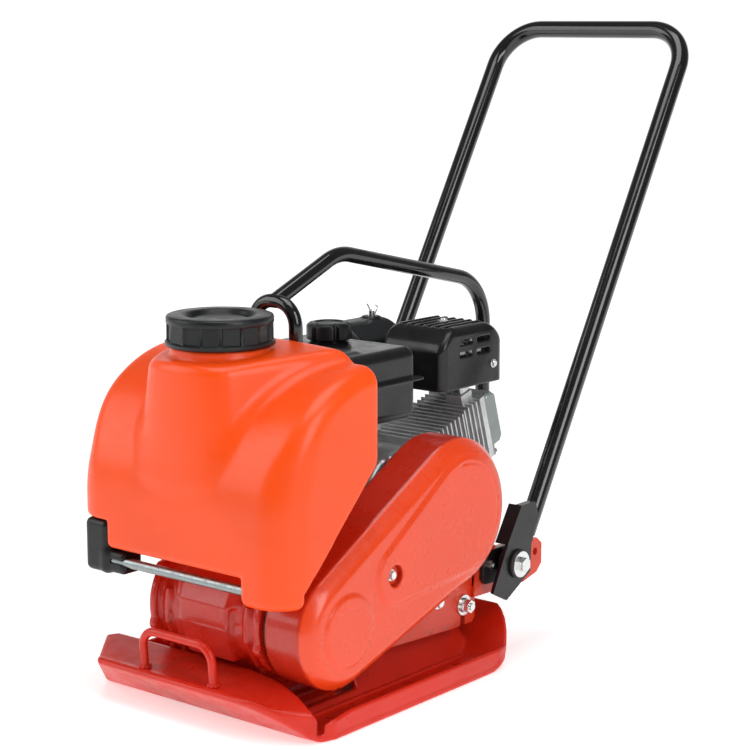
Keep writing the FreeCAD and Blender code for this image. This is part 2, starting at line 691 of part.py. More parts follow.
def clutch_hub():
    """Hub and two shoes of the centrifugal clutch."""
    hub = ring("x", 20.0, 9.5, 122.5, 138.0, CRANK)
    shoes = []
    for side in (0, 180):
        shoe = ring("x", 46.0, 26.0, 123.0, 137.0, CRANK)
        keep = box((122, CRANK[0] + 4, CRANK[1] - 60), (139, CRANK[0] + 60, CRANK[1] + 60))
        shoe = shoe.common(keep)
        arm = box((123, CRANK[0] + 15, CRANK[1] - 7), (137, CRANK[0] + 30, CRANK[1] + 7))
        shoe = fuse([shoe, arm])
        shoe.rotate(V(0, *CRANK), V(1, 0, 0), side)
        shoes.append(shoe)
    return fuse([hub] + shoes)


def clutch_drum():
    """Clutch bell with the belt groove on its outer hub."""
    bell = ring("x", 52.0, 47.5, 124.5, 144.0, CRANK)
    pulley = vee_pulley(DRUM_RADIUS, CRANK, 9.5 + FIT, 24.0)
    relief = disc("x", 47.5, 120.0, 141.0, CRANK)
    return fuse([bell, pulley]).cut(relief)


def fuel_tank():
    """Pressed steel tank with its seam flange, filler neck and hollow inside."""
    def body(inset):
        outline = rounded(-24.0 + inset, 354.0 + inset, 160.0 - inset, 458.0 - inset, 12.0)
        plan = rounded(-122.0 + inset, -24.0 + inset, 80.0 - inset, 160.0 - inset, 14.0)
        return prism("x", outline, -130.0, 90.0).common(prism("z", plan, 340.0, 470.0))
    seam = prism("z", rounded(-130.0, -32.0, 88.0, 168.0, 14.0), 409.0, 413.0)
    neck = ring("z", 22.0, 19.0, 452.0, 468.0, FUEL_NECK)
    solid = fuse([body(0), seam, neck])
    return cut(solid, [body(2.0), disc("z", 19.0, 440.0, 470.0, FUEL_NECK)])


def fuel_cap():
    """Lobed cap with a skirt over the filler neck."""
    x, y = FUEL_NECK
    rim = disc("z", 30.0, 462.0, 484.0, FUEL_NECK)
    lobes = []
    for turn in range(6):
        angle = math.radians(60 * turn)
        lobes.append(disc("z", 9.0, 464.0, 482.0, (x + 25 * math.cos(angle), y + 25 * math.sin(angle))))
    crown = Part.makeCone(28.0, 22.0, 4.0, V(x, y, 484.0), V(0, 0, 1))
    return fuse([rim, crown] + lobes).cut(disc("z", 22.4, 461.0, 469.0, FUEL_NECK))


def carburetor():
    """Carburettor body, float bowl and the insulated pipe to the head."""
    body = box((-90, 262, 296.0), (-50, 306, 334.0))
    bowl = disc("z", 19.0, 268.0, 296.0, (-70.0, 284.0))
    pipe = disc("x", 14.0, -50.0, CYLINDER_X - 50.2, (292.0, 310.0))
    horn = disc("z", 17.0, 334.0, 386.0, (-72.0, 280.0))
    return fuse([body, bowl, pipe, horn])


def air_cleaner_base():
    tray = prism("z", rounded(-156.0, 196.0, -50.0, 306.0, 6.0), 386.0, 400.0)
    stud = disc("z", 3.0, 399.0, 476.0, CLEANER_STUD)
    return fuse([tray, stud])


def air_filter():
    pleats = ring("z", 36.0, 14.0, 401.0, 446.0, (-100.0, 250.0))
    return pleats.cut(disc("z", 4.0, 400, 450, CLEANER_STUD))


def air_cleaner_cover():
    """Moulded cover, chamfered on top, hollow inside."""
    def body(inset, floor):
        left, right = -154 + inset, -52 - inset
        front, rear = 198 + inset, 304 - inset
        base = box((left, front, floor), (right, rear, 444.0 - inset))
        top = prism("x", [(front, 443.0 - inset), (front + 18, 466.0 - inset), (rear - 14, 466.0 - inset),
                          (rear, 443.0 - inset)], left, right)
        slope = prism("y", [(left, 440.0), (left + 16, 468.0), (right - 10, 468.0), (right, 440.0)], 150, 350)
        return fuse([base, top.common(slope)])
    boss = disc("z", 14.0, 458.0, 470.0, CLEANER_STUD)
    shell = fuse([body(0, 400.4), boss])
    return cut(shell, [body(2.5, 399.0), disc("z", 3.0 + FIT, 440.0, 480.0, CLEANER_STUD)])


def wing_nut():
    hub = disc("z", 6.5, 470.2, 478.0, CLEANER_STUD)
    half = [(6.0, 471.0), (13.0, 484.0), (8.0, 487.0), (2.0, 478.0)]
    outline = [(CLEANER_STUD[0] + a, b) for a, b in half + [(-a, b) for a, b in half[::-1]]]
    wings = prism("y", outline, CLEANER_STUD[1] - 1.4, CLEANER_STUD[1] + 1.4)
    return fuse([hub, wings]).cut(disc("z", 3.0 + FIT, 465.0, 490.0, CLEANER_STUD))


def muffler():
    """Silencer drum on the exhaust port."""
    drum = disc("x", 30.0, -24.0, 68.0, (296.0, 422.0))
    ends = [disc("x", 27.0, -28.0, -24.0, (296.0, 422.0)), disc("x", 27.0, 68.0, 72.0, (296.0, 422.0))]
    port = slab_on_axis(208, 230, 66.2, 96, CYLINDER_X + 6, CYLINDER_X + 32)
    return fuse([drum, port] + ends)


def muffler_guard():
    """Pressed guard round the silencer, with slots on its end and louvres on top."""
    def body(inset):
        front, rear, left, right = 218 + inset, 367 - inset, -36 + inset, 80 - inset
        outline = [(front, 380.0), (front, 446 - inset), (front + 14, 470 - inset),
                   (rear - 14, 470 - inset), (rear, 452 - inset), (rear, 380.0)]
        block = prism("x", outline, left, right)
        trim = prism("y", [(left, 380), (left, 456 - inset), (left + 12, 471), (right - 12, 471),
                           (right, 456 - inset), (right, 380)], 210, 370)
        return block.common(trim)
    shell = body(0).cut(body(1.8).fuse(box((-34, 220, 370), (78, 365, 383))))
    slots = []
    for y in (262.0, 304.0):
        for z in (430.0, 448.0):
            slot = fuse([box((70, y, z - 3.5), (90, y + 26, z + 3.5)), disc("x", 3.5, 70, 90, (y, z)),
                         disc("x", 3.5, 70, 90, (y + 26, z))])
            slots.append(slot)
    louvres = [box((-14 + 12 * i, 262, 460), (-9 + 12 * i, 330, 476)) for i in range(6)]
    return cut(shell, slots + louvres)


def engine_bolts():
    """Small flanged bolts of the guard, covers and head."""
    spots = [((80, 340, 408), (1, 0, 0)), ((22, 296, 470), (0, 0, 1)), ((92, 60, 190), (1, 0, 0)),
             ((92, 178, 190), (1, 0, 0)), ((84, 178, 262), (1, 0, 0))]
    bolts = [bolt(place, way, 10, 5, 3, washer=6.5) for place, way in spots]
    for side in (-40, 40):
        for height in (-46, 46):
            place = (CYLINDER_X + side,) + along(250, height)
            bolts.append(bolt(place, axis_direction(), 8, 5, 3))
    for turn in range(3):
        angle = math.radians(120 * turn + 75)
        place = (-126, CRANK[0] + 78 * math.cos(angle), CRANK[1] + 78 * math.sin(angle))
        bolts.append(bolt(place, (-1, 0, 0), 8, 5, 3))
    return bolts


def oil_dipstick():
    """Filler plug with its dipstick, on the crankcase foot."""
    knob = fuse([disc("y", 13.0, 22.0, 34.0, (60.0, 172.0)), box((54, 16, 168), (66, 24, 176))])
    stem = disc("y", 9.0, 34.0, 47.8, (60.0, 172.0))
    return fuse([knob, stem])


def throttle_lever():
    hub = disc("y", 9.0, 222.0, 226.0, (-92.0, 352.0))
    arm = prism("y", [(-96, 352), (-88, 352), (-112, 376), (-120, 372)], 222.0, 226.0)
    knob = disc("y", 6.0, 218.5, 228.0, (-118.0, 377.0))
    return fuse([hub, arm, knob])


def small_lever(at, reach, y):
    """Flat lever on a Y axis with a rounded tip."""
    hub = disc("y", 7.0, y, y + 3, at)
    arm = prism("y", [(at[0] - 3, at[1]), (at[0] + 3, at[1]), (at[0] + 4, at[1] + reach),
                      (at[0] - 4, at[1] + reach)], y, y + 3)
    tip = disc("y", 5.5, y, y + 7, (at[0], at[1] + reach))
    return fuse([hub, arm, tip])


def engine_switch():
    knob = disc("y", 11.0, 214.4, 221.0, (-102.0, 300.0))
    bar = box((-105, 220.0, 291.0), (-99, 230.0, 309.0))
    return fuse([knob, bar])


# ------------------------------------------------------------------ belt cover

def cover_clearance():
    """Room behind the cover's lower edge for the engine base."""
    return box((100, -60, 0), (BASE_SIDE + 2.5, 260, DECK_TOP + 4))


def belt_cover():
    """Hollow moulded cover with a bevelled face, open at the back."""
    outer = Part.Face(at_x(two_circle_outline(0), COVER_BACK)).extrude(V(COVER_RIM - COVER_BACK, 0, 0))
    bevel = Part.makeLoft([at_x(two_circle_outline(0), COVER_RIM),
                           at_x(two_circle_outline(COVER_BEVEL), COVER_FACE)], True, True)
    inner = Part.Face(at_x(two_circle_outline(COVER_WALL), COVER_BACK - 1)).extrude(
        V(COVER_RIM - COVER_BACK, 0, 0))
    inner_bevel = Part.makeLoft([at_x(two_circle_outline(COVER_WALL), COVER_RIM - 1.1),
                                 at_x(two_circle_outline(COVER_BEVEL + 1.5), COVER_FACE - COVER_WALL)],
                                True, True)
    shell = outer.fuse(bevel).cut(inner).cut(inner_bevel)
    shell = fuse([shell, ring("x", 15.0, 12.0, COVER_FACE - 12, COVER_FACE, COVER_WELL),
                  disc("x", 14.0, COVER_FACE - 13, COVER_FACE - 10, COVER_WELL)])
    shell = cut(shell, [disc("x", 12.0, COVER_FACE - 10, COVER_FACE + 2, COVER_WELL),
                        disc("x", 3.5, COVER_FACE - 20, COVER_FACE, COVER_WELL)])
    return shell.cut(cover_clearance())


def belt_cover_back():
    """Flat back plate that closes the cover round both shafts."""
    plate = Part.Face(at_x(two_circle_outline(COVER_WALL + GAP), 118.5)).extrude(V(4.0, 0, 0))
    holes = [disc("x", 62.5, 110, 130, EXCITER), disc("x", 54.0, 110, 130, CRANK)]
    clearance = box((100, -60, 0), (160, 260, DECK_TOP + 4))
    return cut(plate, holes + [clearance])


# ----------------------------------------------------------------------- water

def lower_tank(inset):
    """Wide body of the tank: upright at the foot, swept back above in one large arc."""
    half = TANK_HALF_WIDTH - inset
    corner = TANK_CORNER - inset
    side = arc_points(TANK_SWEEP_CENTRE, TANK_SWEEP - inset, 90, 180, 13)
    side += arc_points((-238.0, 224.0), 12.0 - inset, 180, 262, 4)
    side += [(-225.0, 212.0 + inset), (-104.5 - inset, 212.0 + inset), (-104.5 - inset, 214.6 + inset),
             (-60.0 - inset, 214.6 + inset), (-60.0 - inset, 469.0 - inset)]
    block = prism("x", side, -half, half)
    shoulder = arc_points((half - 30, 440.0 - inset), 30.0, 0, 90, 5)
    front = [(half, 150.0)] + shoulder + [(-a, b) for a, b in shoulder[::-1]] + [(-half, 150.0)]
    block = block.common(prism("y", front, -300, 0))
    plan = arc_points((half - corner, -250.0 + inset + corner), corner, -90, 0, 7)
    plan += [(half, -72.0), (half - 14, -58.0)]
    plan += [(-a, b) for a, b in plan[::-1]]
    return block.common(prism("z", plan, 100, 600))


def hump(inset):
    """Raised middle of the tank, rounded in front and widening to the rear."""
    side = [(-60.0 - inset, 350.0), (-60.0 - inset, 484.0 - inset), (-74.0, 488.5 - inset)]
    side += arc_points((-206.0, 432.0), 46.0 - inset, 82, 180, 7)
    side += [(-252.0 + inset, 340.0), (-230.0, 300.0)]
    block = prism("x", side, -150, 150)
    x, y = HUMP_CENTRE
    reach = math.hypot(HUMP_REAR_HALF, -60.0 - y)
    turn = math.degrees(math.atan2(-60.0 - y, HUMP_REAR_HALF) - math.acos(HUMP_RADIUS / reach))
    plan = arc_points(HUMP_CENTRE, HUMP_RADIUS - inset, -180 - turn, turn, 13)
    plan += [(HUMP_REAR_HALF - inset, -60.0), (inset - HUMP_REAR_HALF, -60.0)]
    return block.common(prism("z", plan, 290, 600))


def tank_body(inset):
    """Water tank inside its outer skin by the inset."""
    return fuse([lower_tank(inset), hump(inset)])


def tank_lobe():
    """Lower right corner of the tank, in front of the belt cover."""
    outline = [(112.0, 216.0), (116.0, 186.0), (126.0, 176.0), (180.0, 176.0), (190.0, 186.0),
               (191.9, 222.0)]
    return prism("y", outline, -246.0, -208.0)


def tank_rooms(inset):
    """Room left by the tank for the belt cover on the right and the end block on the left."""
    belt = [(-206.0, 170.0 - inset), (-206.0, 196.0 + inset), (-48.0, 354.0 + inset), (-48.0, 170.0)]
    block = [(-300.0, 150.0), (-300.0, 250.0 + inset), (-196.0, 250.0 + inset), (-48.0, 354.0 + inset),
             (-48.0, 150.0)]
    return [prism("x", belt, 112.0 - inset, 210.0), prism("x", block, -210.0, -127.0 + inset)]


def water_tank():
    collar = disc("z", COLLAR_RADIUS, 440.0, NECK_BOTTOM, (0, NECK_Y))
    skin = cut(fuse([tank_body(0), collar, tank_lobe()]), tank_rooms(0))
    floor = box((-100, -300, 200), (100, 0, 220))
    cavity = cut(tank_body(TANK_WALL), tank_rooms(TANK_WALL) + [floor])
    mouth = disc("z", NECK_RADIUS - 6, 430.0, 500.0, (0, NECK_Y))
    pipe_hole = disc("x", 6.6 + FIT, 108.0, 124.0, (-238.0, 195.0))
    return cut(skin, [cavity, mouth, pipe_hole])


def filler_neck():
    """Threaded neck ring bonded on the top of the tank, inside the cap."""
    return ring("z", NECK_RADIUS, NECK_RADIUS - 6, NECK_BOTTOM, 516.0, (0, NECK_Y))


def cap_gasket():
    return ring("z", NECK_RADIUS, NECK_RADIUS - 6, 516.3, 518.8, (0, NECK_Y))


def water_cap():
    """Dished screw cap with grip flats and a skirt over the neck."""
    at = (0, NECK_Y)
    points = []
    for turn in range(14):
        angle = 2 * math.pi * turn / 14
        points.append((CAP_RADIUS * math.cos(angle), NECK_Y + CAP_RADIUS * math.sin(angle)))
    foot = disc("z", CAP_RADIUS + 2.5, 491.0, 497.0, at)
    skirt = prism("z", points, 496.0, 520.0)
    rim = disc("z", CAP_RADIUS, 519.0, 528.0, at)
    bead = Part.makeCone(CAP_RADIUS, CAP_RADIUS - 3, 3.0, V(0, NECK_Y, 528.0), V(0, 0, 1))
    dish = Part.makeCone(40.0, 48.0, 8.0, V(0, NECK_Y, 523.5), V(0, 0, 1))
    solid = fuse([foot, skirt, rim, bead]).cut(dish)
    return solid.cut(disc("z", NECK_RADIUS + GAP, 490.0, 519.2, at))


def corner_block():
    """Black end block that carries the sprinkler pipe and the water cock."""
    body = box((-172, -248, 176), (-128, -206, 249))
    body = body.makeFillet(9.0, [e for e in body.Edges if abs(e.tangentAt(e.FirstParameter).z) > 0.9])
    toe = box((-140, -246, 178), (-98, -210, 208))
    return fuse([body, toe]).cut(disc("x", 6.6 + FIT, -130.0, -90.0, (-238.0, 195.0)))


def sprinkler_pipe():
    """Perforated pipe under the tank; its drip holes face the ground."""
    pipe = ring("x", 6.6, 5.0, -129.5, 123.0, (-238.0, 195.0))
    holes = [disc("z", 1.0, 186.0, 193.0, (-90.0 + 20.0 * i, -238.0)) for i in range(10)]
    return cut(pipe, holes)


def cock_lever():
    hub = disc("x", 8.0, -176.6, -172.4, (-226.0, 226.0))
    arm = box((-179.5, -230.0, 198.0), (-176.4, -222.0, 230.0))
    return fuse([hub, arm])


# -------------------------------------------------------------- frame, handle

def guard_frame():
    """Lifting frame: a loop behind the tank cap, a bar over the engine and a rear leg."""
    loop = tube([(-LOOP_HALF, LOOP_Y, DECK_TOP), (-LOOP_HALF, LOOP_Y, 536.0), (LOOP_HALF, LOOP_Y, 536.0),
                 (LOOP_HALF, LOOP_Y, DECK_TOP)], LOOP_TUBE / 2, 32.0)
    bar = tube([(0, LOOP_Y, 536.0), (0, 82.0, 590.0), (0, FRAME_REAR, 515.0),
                (0, FRAME_REAR, 150.0), (0, 262.0, 150.0)], FRAME_TUBE / 2, FRAME_BEND)
    shoe = box((-26, 250.0, DECK_TOP + 6), (26, 284.0, 161.0))
    return fuse([loop, bar, shoe])


def leg_y(z):
    return 287.0 + HANDLE_LEAN * (z - 157.0)


def handle():
    """Bent U of round tube."""
    half = HANDLE_HALF_WIDTH
    route = [(-half, leg_y(HANDLE_FOOT_Z), HANDLE_FOOT_Z), (-half, leg_y(HANDLE_TOP), HANDLE_TOP),
             (half, leg_y(HANDLE_TOP), HANDLE_TOP), (half, leg_y(HANDLE_FOOT_Z), HANDLE_FOOT_Z)]
    return tube(route, HANDLE_TUBE / 2, HANDLE_BEND)


def handle_bracket():
    """Folded bracket welded on the right leg: side plate and front flange."""
    outline = [(266.0, 222.0), (300.0, 222.0), (310.0, 200.0), (292.0, 160.0), (290.0, 120.0),
               (232.0, 89.0), (199.0, 106.0), (226.0, 157.0)]
    side = prism("x", outline, 182.0, 187.4)
    flange = prism("x", [(266.0, 222.0), (271.0, 220.0), (238.5, 168.5), (233.0, 170.5)], 165.0, 187.4)
    web = prism("x", [(270.0, 221.0), (300.0, 221.0), (286.0, 196.0), (256.0, 196.0)], 174.0, 187.4)
    hole = disc("x", PIVOT_RADIUS + FIT, 170.0, 200.0, PIVOT)
    return fuse([side, flange, web]).cut(hole)


def handle_mount():
    """Plate bolted on the ear; the handle leans on it through the pivot bushes."""
    outline = [(207.0, 120.0), (214.0, 112.0), (270.0, 108.0), (284.0, 124.0), (284.0, 150.0),
               (270.0, 160.0), (250.0, 160.5), (207.0, 160.5)]
    plate = prism("x", outline, BASE_SIDE + 6, BASE_SIDE + 14)
    return plate.cut(disc("x", PIVOT_RADIUS + FIT, 150.0, 170.0, PIVOT))


def mount_screws():
    """Socket screws of the handle mounts."""
    head = disc("x", 6.5, BASE_SIDE + 14, BASE_SIDE + 20, (222.0, 140.0))
    socket = aim(hexagon(6.0, 5.0), (BASE_SIDE + 16, 222.0, 140.0), (1, 0, 0))
    return both_sides(head.cut(socket))


def pivot_bolt():
    """Pivot bolt of the right leg with its big washer."""
    y, z = PIVOT
    shank = disc("x", PIVOT_RADIUS, BASE_SIDE - 16, 195.0, PIVOT)
    washer = disc("x", 19.0, 192.2, 194.8, PIVOT)
    head = aim(hexagon(19.0, 8.0), (194.8, y, z), (1, 0, 0))
    nut = aim(hexagon(19.0, 7.9), (BASE_SIDE - BASE_WALL, y, z), (-1, 0, 0))
    return fuse([shank, washer, head, nut])


def pivot_bushes():
    """Rubber bushes either side of each handle bracket."""
    inner = ring("x", 17.0, PIVOT_RADIUS, BASE_SIDE + 14, 181.7, PIVOT)
    outer = ring("x", 21.0, PIVOT_RADIUS, 187.7, 192.2, PIVOT)
    return both_sides(inner) + both_sides(outer)


# ---------------------------------------------------------------------- output

save("base_plate", base_plate())
save("front_grip", front_grip())
save("exciter_housing", exciter_housing())
save("exciter_covers", exciter_cover_left(), exciter_cover_right())
save("exciter_bearings", *exciter_bearings())
save("exciter_bolts", *exciter_bolts())
save("eccentric_shaft", eccentric_shaft())
save("eccentric_weights", eccentric_weights())
save("exciter_pulley", exciter_pulley())
save("pulley_bolt", bolt((172.0, EXCITER[0], EXCITER[1]), (1, 0, 0), 17, 7, 1, washer=17))
save("v_belt", belt())
save("engine_base", engine_base())
save("shock_mounts", *shock_mounts())
save("mount_nuts", *mount_nuts())
save("outer_bolts", *outer_bolts())
save("crankcase", crankcase())
save("cylinder_barrel", cylinder_barrel())
save("cylinder_head", cylinder_head())
save("rocker_cover", rocker_cover())
save("spark_plug", spark_plug())
save("plug_cap", plug_cap())
save("fan_cover", fan_cover())
save("recoil_cover", recoil_cover())
save("recoil_reel", recoil_reel())
save("starter_grip", starter_grip())
save("flywheel", flywheel())
save("crankshaft", crankshaft())
save("clutch_hub", clutch_hub())
save("clutch_drum", clutch_drum())
save("fuel_tank", fuel_tank())
save("fuel_cap", fuel_cap())
save("carburetor", carburetor())
save("air_cleaner_base", air_cleaner_base())
save("air_filter", air_filter())
save("air_cleaner_cover", air_cleaner_cover())
save("wing_nut", wing_nut())
save("muffler", muffler())
save("muffler_guard", muffler_guard())
save("engine_bolts", *engine_bolts())
save("oil_dipstick", oil_dipstick())
save("throttle_lever", throttle_lever())
save("choke_lever", small_lever((-76.0, 322.0), 16.0, 306.4))
save("fuel_cock_lever", small_lever((-58.0, 306.0), -16.0, 306.4))
save("engine_switch", engine_switch())
save("belt_cover", belt_cover())
save("belt_cover_back", belt_cover_back())
save("water_tank", water_tank())
save("filler_neck", filler_neck())
save("cap_gasket", cap_gasket())
save("water_cap", water_cap())
save("corner_block", corner_block())
save("sprinkler_pipe", sprinkler_pipe())
save("cock_lever", cock_lever())
save("guard_frame", guard_frame())
save("handle", handle())
save("handle_brackets", *both_sides(handle_bracket()))
save("handle_mounts", *both_sides(handle_mount()))
save("mount_screws", *mount_screws())
save("pivot_bolts", *both_sides(pivot_bolt()))
save("pivot_bushes", *pivot_bushes())
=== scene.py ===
import json
import math

import bmesh
import bpy
import numpy as np
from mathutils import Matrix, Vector


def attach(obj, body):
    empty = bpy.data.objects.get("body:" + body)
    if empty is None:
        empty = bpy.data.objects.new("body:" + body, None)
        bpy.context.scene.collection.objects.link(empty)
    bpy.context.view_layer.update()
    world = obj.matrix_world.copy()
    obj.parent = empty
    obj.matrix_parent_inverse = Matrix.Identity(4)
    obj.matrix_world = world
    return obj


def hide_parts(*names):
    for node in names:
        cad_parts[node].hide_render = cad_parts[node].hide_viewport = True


# Looks of the forward plate compactor. Everything is in metres in the row frame:
# +Z up, +X the belt-cover side, -Y the front, +Y the operator's side.

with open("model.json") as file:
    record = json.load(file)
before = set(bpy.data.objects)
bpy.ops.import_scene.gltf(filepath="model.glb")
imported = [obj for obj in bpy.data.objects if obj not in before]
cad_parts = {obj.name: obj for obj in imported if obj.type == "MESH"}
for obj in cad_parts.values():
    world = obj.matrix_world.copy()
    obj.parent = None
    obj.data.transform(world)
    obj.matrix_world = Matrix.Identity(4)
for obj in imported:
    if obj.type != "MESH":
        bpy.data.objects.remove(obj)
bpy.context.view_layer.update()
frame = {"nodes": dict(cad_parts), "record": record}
MM = 0.001
BEVELLED_FROM = 28          # degrees between two faces whose edge is rounded
SHARP_FROM = 40             # degrees between two faces shaded apart on a softened node
BEAD_SIDES = 10
BODY_OF = {node: body for body, members in frame["record"]["behaviour"]["bodies"].items() for node in members}
SLOT_OF = {part["node"]: part["material_slot"] for part in frame["record"]["subparts"]}


# ------------------------------------------------------------------- materials

class Paint:
    """Node material under construction, with short calls for the nodes it uses."""

    def __init__(self, name, colour, roughness, metallic=0.0, **sockets):
        self.material = bpy.data.materials.new(name)
        self.material.use_nodes = True
        self.tree = self.material.node_tree
        self.tree.nodes.clear()
        self.output = self.tree.nodes.new("ShaderNodeOutputMaterial")
        self.shader = self.tree.nodes.new("ShaderNodeBsdfPrincipled")
        self.tree.links.new(self.shader.outputs[0], self.output.inputs[0])
        self.shader.inputs["Base Color"].default_value = (*colour, 1)
        self.shader.inputs["Roughness"].default_value = roughness
        self.shader.inputs["Metallic"].default_value = metallic
        for key, value in sockets.items():
            self.shader.inputs[key.replace("_", " ")].default_value = value
        self.place = self.tree.nodes.new("ShaderNodeTexCoord").outputs["Object"]
        self.height = None

    def link(self, value, socket):
        if hasattr(value, "is_linked"):
            self.tree.links.new(value, socket)
        else:
            socket.default_value = value

    def stretched(self, scale):
        node = self.tree.nodes.new("ShaderNodeMapping")
        node.inputs["Scale"].default_value = scale
        self.link(self.place, node.inputs["Vector"])
        return node.outputs[0]

    def noise(self, scale, detail=4.0, rough=0.55, where=None, distortion=0.0):
        node = self.tree.nodes.new("ShaderNodeTexNoise")
        node.inputs["Scale"].default_value = scale
        node.inputs["Detail"].default_value = detail
        node.inputs["Roughness"].default_value = rough
        node.inputs["Distortion"].default_value = distortion
        self.link(where or self.place, node.inputs["Vector"])
        return node.outputs["Fac"]

    def cells(self, scale):
        node = self.tree.nodes.new("ShaderNodeTexVoronoi")
        node.inputs["Scale"].default_value = scale
        self.link(self.place, node.inputs["Vector"])
        return node.outputs["Distance"]

    def span(self, value, low, high, to_low=0.0, to_high=1.0):
        node = self.tree.nodes.new("ShaderNodeMapRange")
        node.interpolation_type = "SMOOTHSTEP"
        for key, number in zip(("From Min", "From Max", "To Min", "To Max"), (low, high, to_low, to_high)):
            node.inputs[key].default_value = number
        self.link(value, node.inputs["Value"])
        return node.outputs["Result"]

    def math(self, operation, a, b=0.0):
        node = self.tree.nodes.new("ShaderNodeMath")
        node.operation = operation
        self.link(a, node.inputs[0])
        self.link(b, node.inputs[1])
        return node.outputs[0]

    def mix(self, factor, a, b):
        node = self.tree.nodes.new("ShaderNodeMix")
        node.data_type = "RGBA"
        self.link(factor, node.inputs["Factor"])
        for value, socket in ((a, node.inputs["A"]), (b, node.inputs["B"])):
            self.link(value if hasattr(value, "is_linked") else (*value, 1), socket)
        return node.outputs["Result"]

    def axis(self, letter):
        node = self.tree.nodes.new("ShaderNodeSeparateXYZ")
        self.link(self.place, node.inputs[0])
        return node.outputs[letter]

    def edges(self, low=0.52, high=0.60):
        node = self.tree.nodes.new("ShaderNodeNewGeometry")
        return self.span(node.outputs["Pointiness"], low, high)

    def slope(self, letter):
        node = self.tree.nodes.new("ShaderNodeNewGeometry")
        parts = self.tree.nodes.new("ShaderNodeSeparateXYZ")
        self.link(node.outputs["Normal"], parts.inputs[0])
        return parts.outputs[letter]

    def colour(self, value):
        self.link(value, self.shader.inputs["Base Color"])

    def roughness(self, value):
        self.link(value, self.shader.inputs["Roughness"])

    def bump(self, height, depth):
        node = self.tree.nodes.new("ShaderNodeBump")
        node.inputs["Strength"].default_value = 1.0
        node.inputs["Distance"].default_value = depth
        self.link(height, node.inputs["Height"])
        if self.height:
            self.link(self.height, node.inputs["Normal"])
        self.height = node.outputs[0]
        self.link(self.height, self.shader.inputs["Normal"])


def darker(colour, factor):
    """Colour with every channel scaled."""
    return tuple(channel * factor for channel in colour)


def painted(name, colour, roughness, orange_peel, coarse, wear, coat=0.25):
    """Sprayed enamel: orange peel, faint colour drift, darker blotches at random and thin wear on edges."""
    p = Paint(name, colour, roughness, Coat_Weight=coat, Coat_Roughness=0.08, Specular_IOR_Level=0.35)
    drift = p.span(p.noise(9, 3), 0.3, 0.7)
    blotch = p.span(p.noise(55, 5, 0.65), 0.42, 0.72)
    base = p.mix(drift, darker(colour, 0.90), colour)
    base = p.mix(p.math("MULTIPLY", blotch, 0.25), base, darker(colour, 0.72))
    chips = p.math("MULTIPLY", p.edges(0.54, 0.62), p.span(p.noise(210, 4, 0.7), 0.50, 0.58))
    base = p.mix(p.math("MULTIPLY", chips, wear), base, (0.16, 0.10, 0.09))
    p.colour(base)
    p.roughness(p.span(p.noise(34, 4), 0.25, 0.75, roughness * 0.8, min(1.0, roughness * 1.35)))
    p.bump(p.noise(520, 2), orange_peel)
    p.bump(p.noise(70, 5, 0.62), coarse)
    return p.material


def moulded(name, colour, roughness, grain, wave=0.00025, coat=0.0):
    """Moulded plastic: fine grain, slow waviness of the wall and handling scuffs."""
    p = Paint(name, colour, roughness, Coat_Weight=coat, Coat_Roughness=0.15, Specular_IOR_Level=0.35)
    drift = p.span(p.noise(5, 3), 0.3, 0.7)
    base = p.mix(drift, darker(colour, 0.93), tuple(min(1.0, c * 1.05) for c in colour))
    scuffs = p.noise(30, 6, 0.7, p.stretched((1.0, 1.0, 5.0)), 1.2)
    base = p.mix(p.span(scuffs, 0.62, 0.80, 0.0, 0.06), base, tuple(min(1, c * 1.3 + 0.03) for c in colour))
    p.colour(base)
    p.roughness(p.span(scuffs, 0.35, 0.75, roughness * 0.85, min(1.0, roughness * 1.3)))
    p.bump(p.noise(1400, 2), grain)
    p.bump(p.noise(14, 2), wave)
    return p.material


def bare_metal(name, colour, roughness, lines, grain, patina=(0.45, 0.40, 0.30), share=0.15):
    """Bare or plated metal: fine tool lines, spots of patina and uneven polish."""
    p = Paint(name, colour, roughness, metallic=1.0)
    streak = p.noise(380, 3, 0.6, p.stretched((1.0, 1.0, 0.06)))
    spots = p.span(p.noise(130, 6, 0.7), 0.5, 0.72)
    p.colour(p.mix(p.math("MULTIPLY", spots, share), colour, patina))
    p.roughness(p.span(p.noise(90, 5), 0.3, 0.75, roughness * 0.7, min(1.0, roughness * 1.5)))
    p.bump(streak, lines)
    p.bump(p.noise(700, 3), grain)
    return p.material


def cast_metal(name, colour, roughness, metallic, grain):
    """Rough casting: sand-cast skin with pits, and painted shade darkening the hollows."""
    p = Paint(name, colour, roughness, metallic=metallic)
    pits = p.cells(420)
    tone = p.span(p.noise(24, 5, 0.6), 0.35, 0.7)
    # painted shade: concave places, found by low pointiness, are darkened toward a darker copy of the colour
    hollow = p.math("SUBTRACT", 1.0, p.edges(0.42, 0.50))
    base = p.mix(tone, darker(colour, 0.80), colour)
    p.colour(p.mix(p.math("MULTIPLY", hollow, 0.65), base, darker(colour, 0.35)))
    p.roughness(p.span(p.noise(60, 4), 0.3, 0.7, roughness * 0.85, min(1.0, roughness * 1.25)))
    p.bump(p.math("ADD", p.noise(600, 4, 0.7), p.span(pits, 0.0, 0.35, -0.5, 0.0)), grain)
    return p.material


def cover_moulding(name, colour, shaded_wall_colour):
    """Belt cover plastic: glossy, with painted shade making the side walls a deeper red than the face."""
    p = Paint(name, colour, 0.28, Coat_Weight=0.2, Coat_Roughness=0.1)
    # painted shade: surfaces turned away from the X axis (the side walls) take the darker wall colour
    facing = p.span(p.math("ABSOLUTE", p.slope("X")), 0.30, 0.62)
    drift = p.span(p.noise(6, 3), 0.3, 0.7)
    base = p.mix(drift, darker(colour, 0.93), colour)
    p.colour(p.mix(facing, shaded_wall_colour, base))
    p.roughness(p.span(p.noise(24, 5, 0.6), 0.3, 0.75, 0.24, 0.36))
    p.bump(p.noise(1300, 2), 0.00002)
    p.bump(p.noise(12, 2), 0.0002)
    return p.material


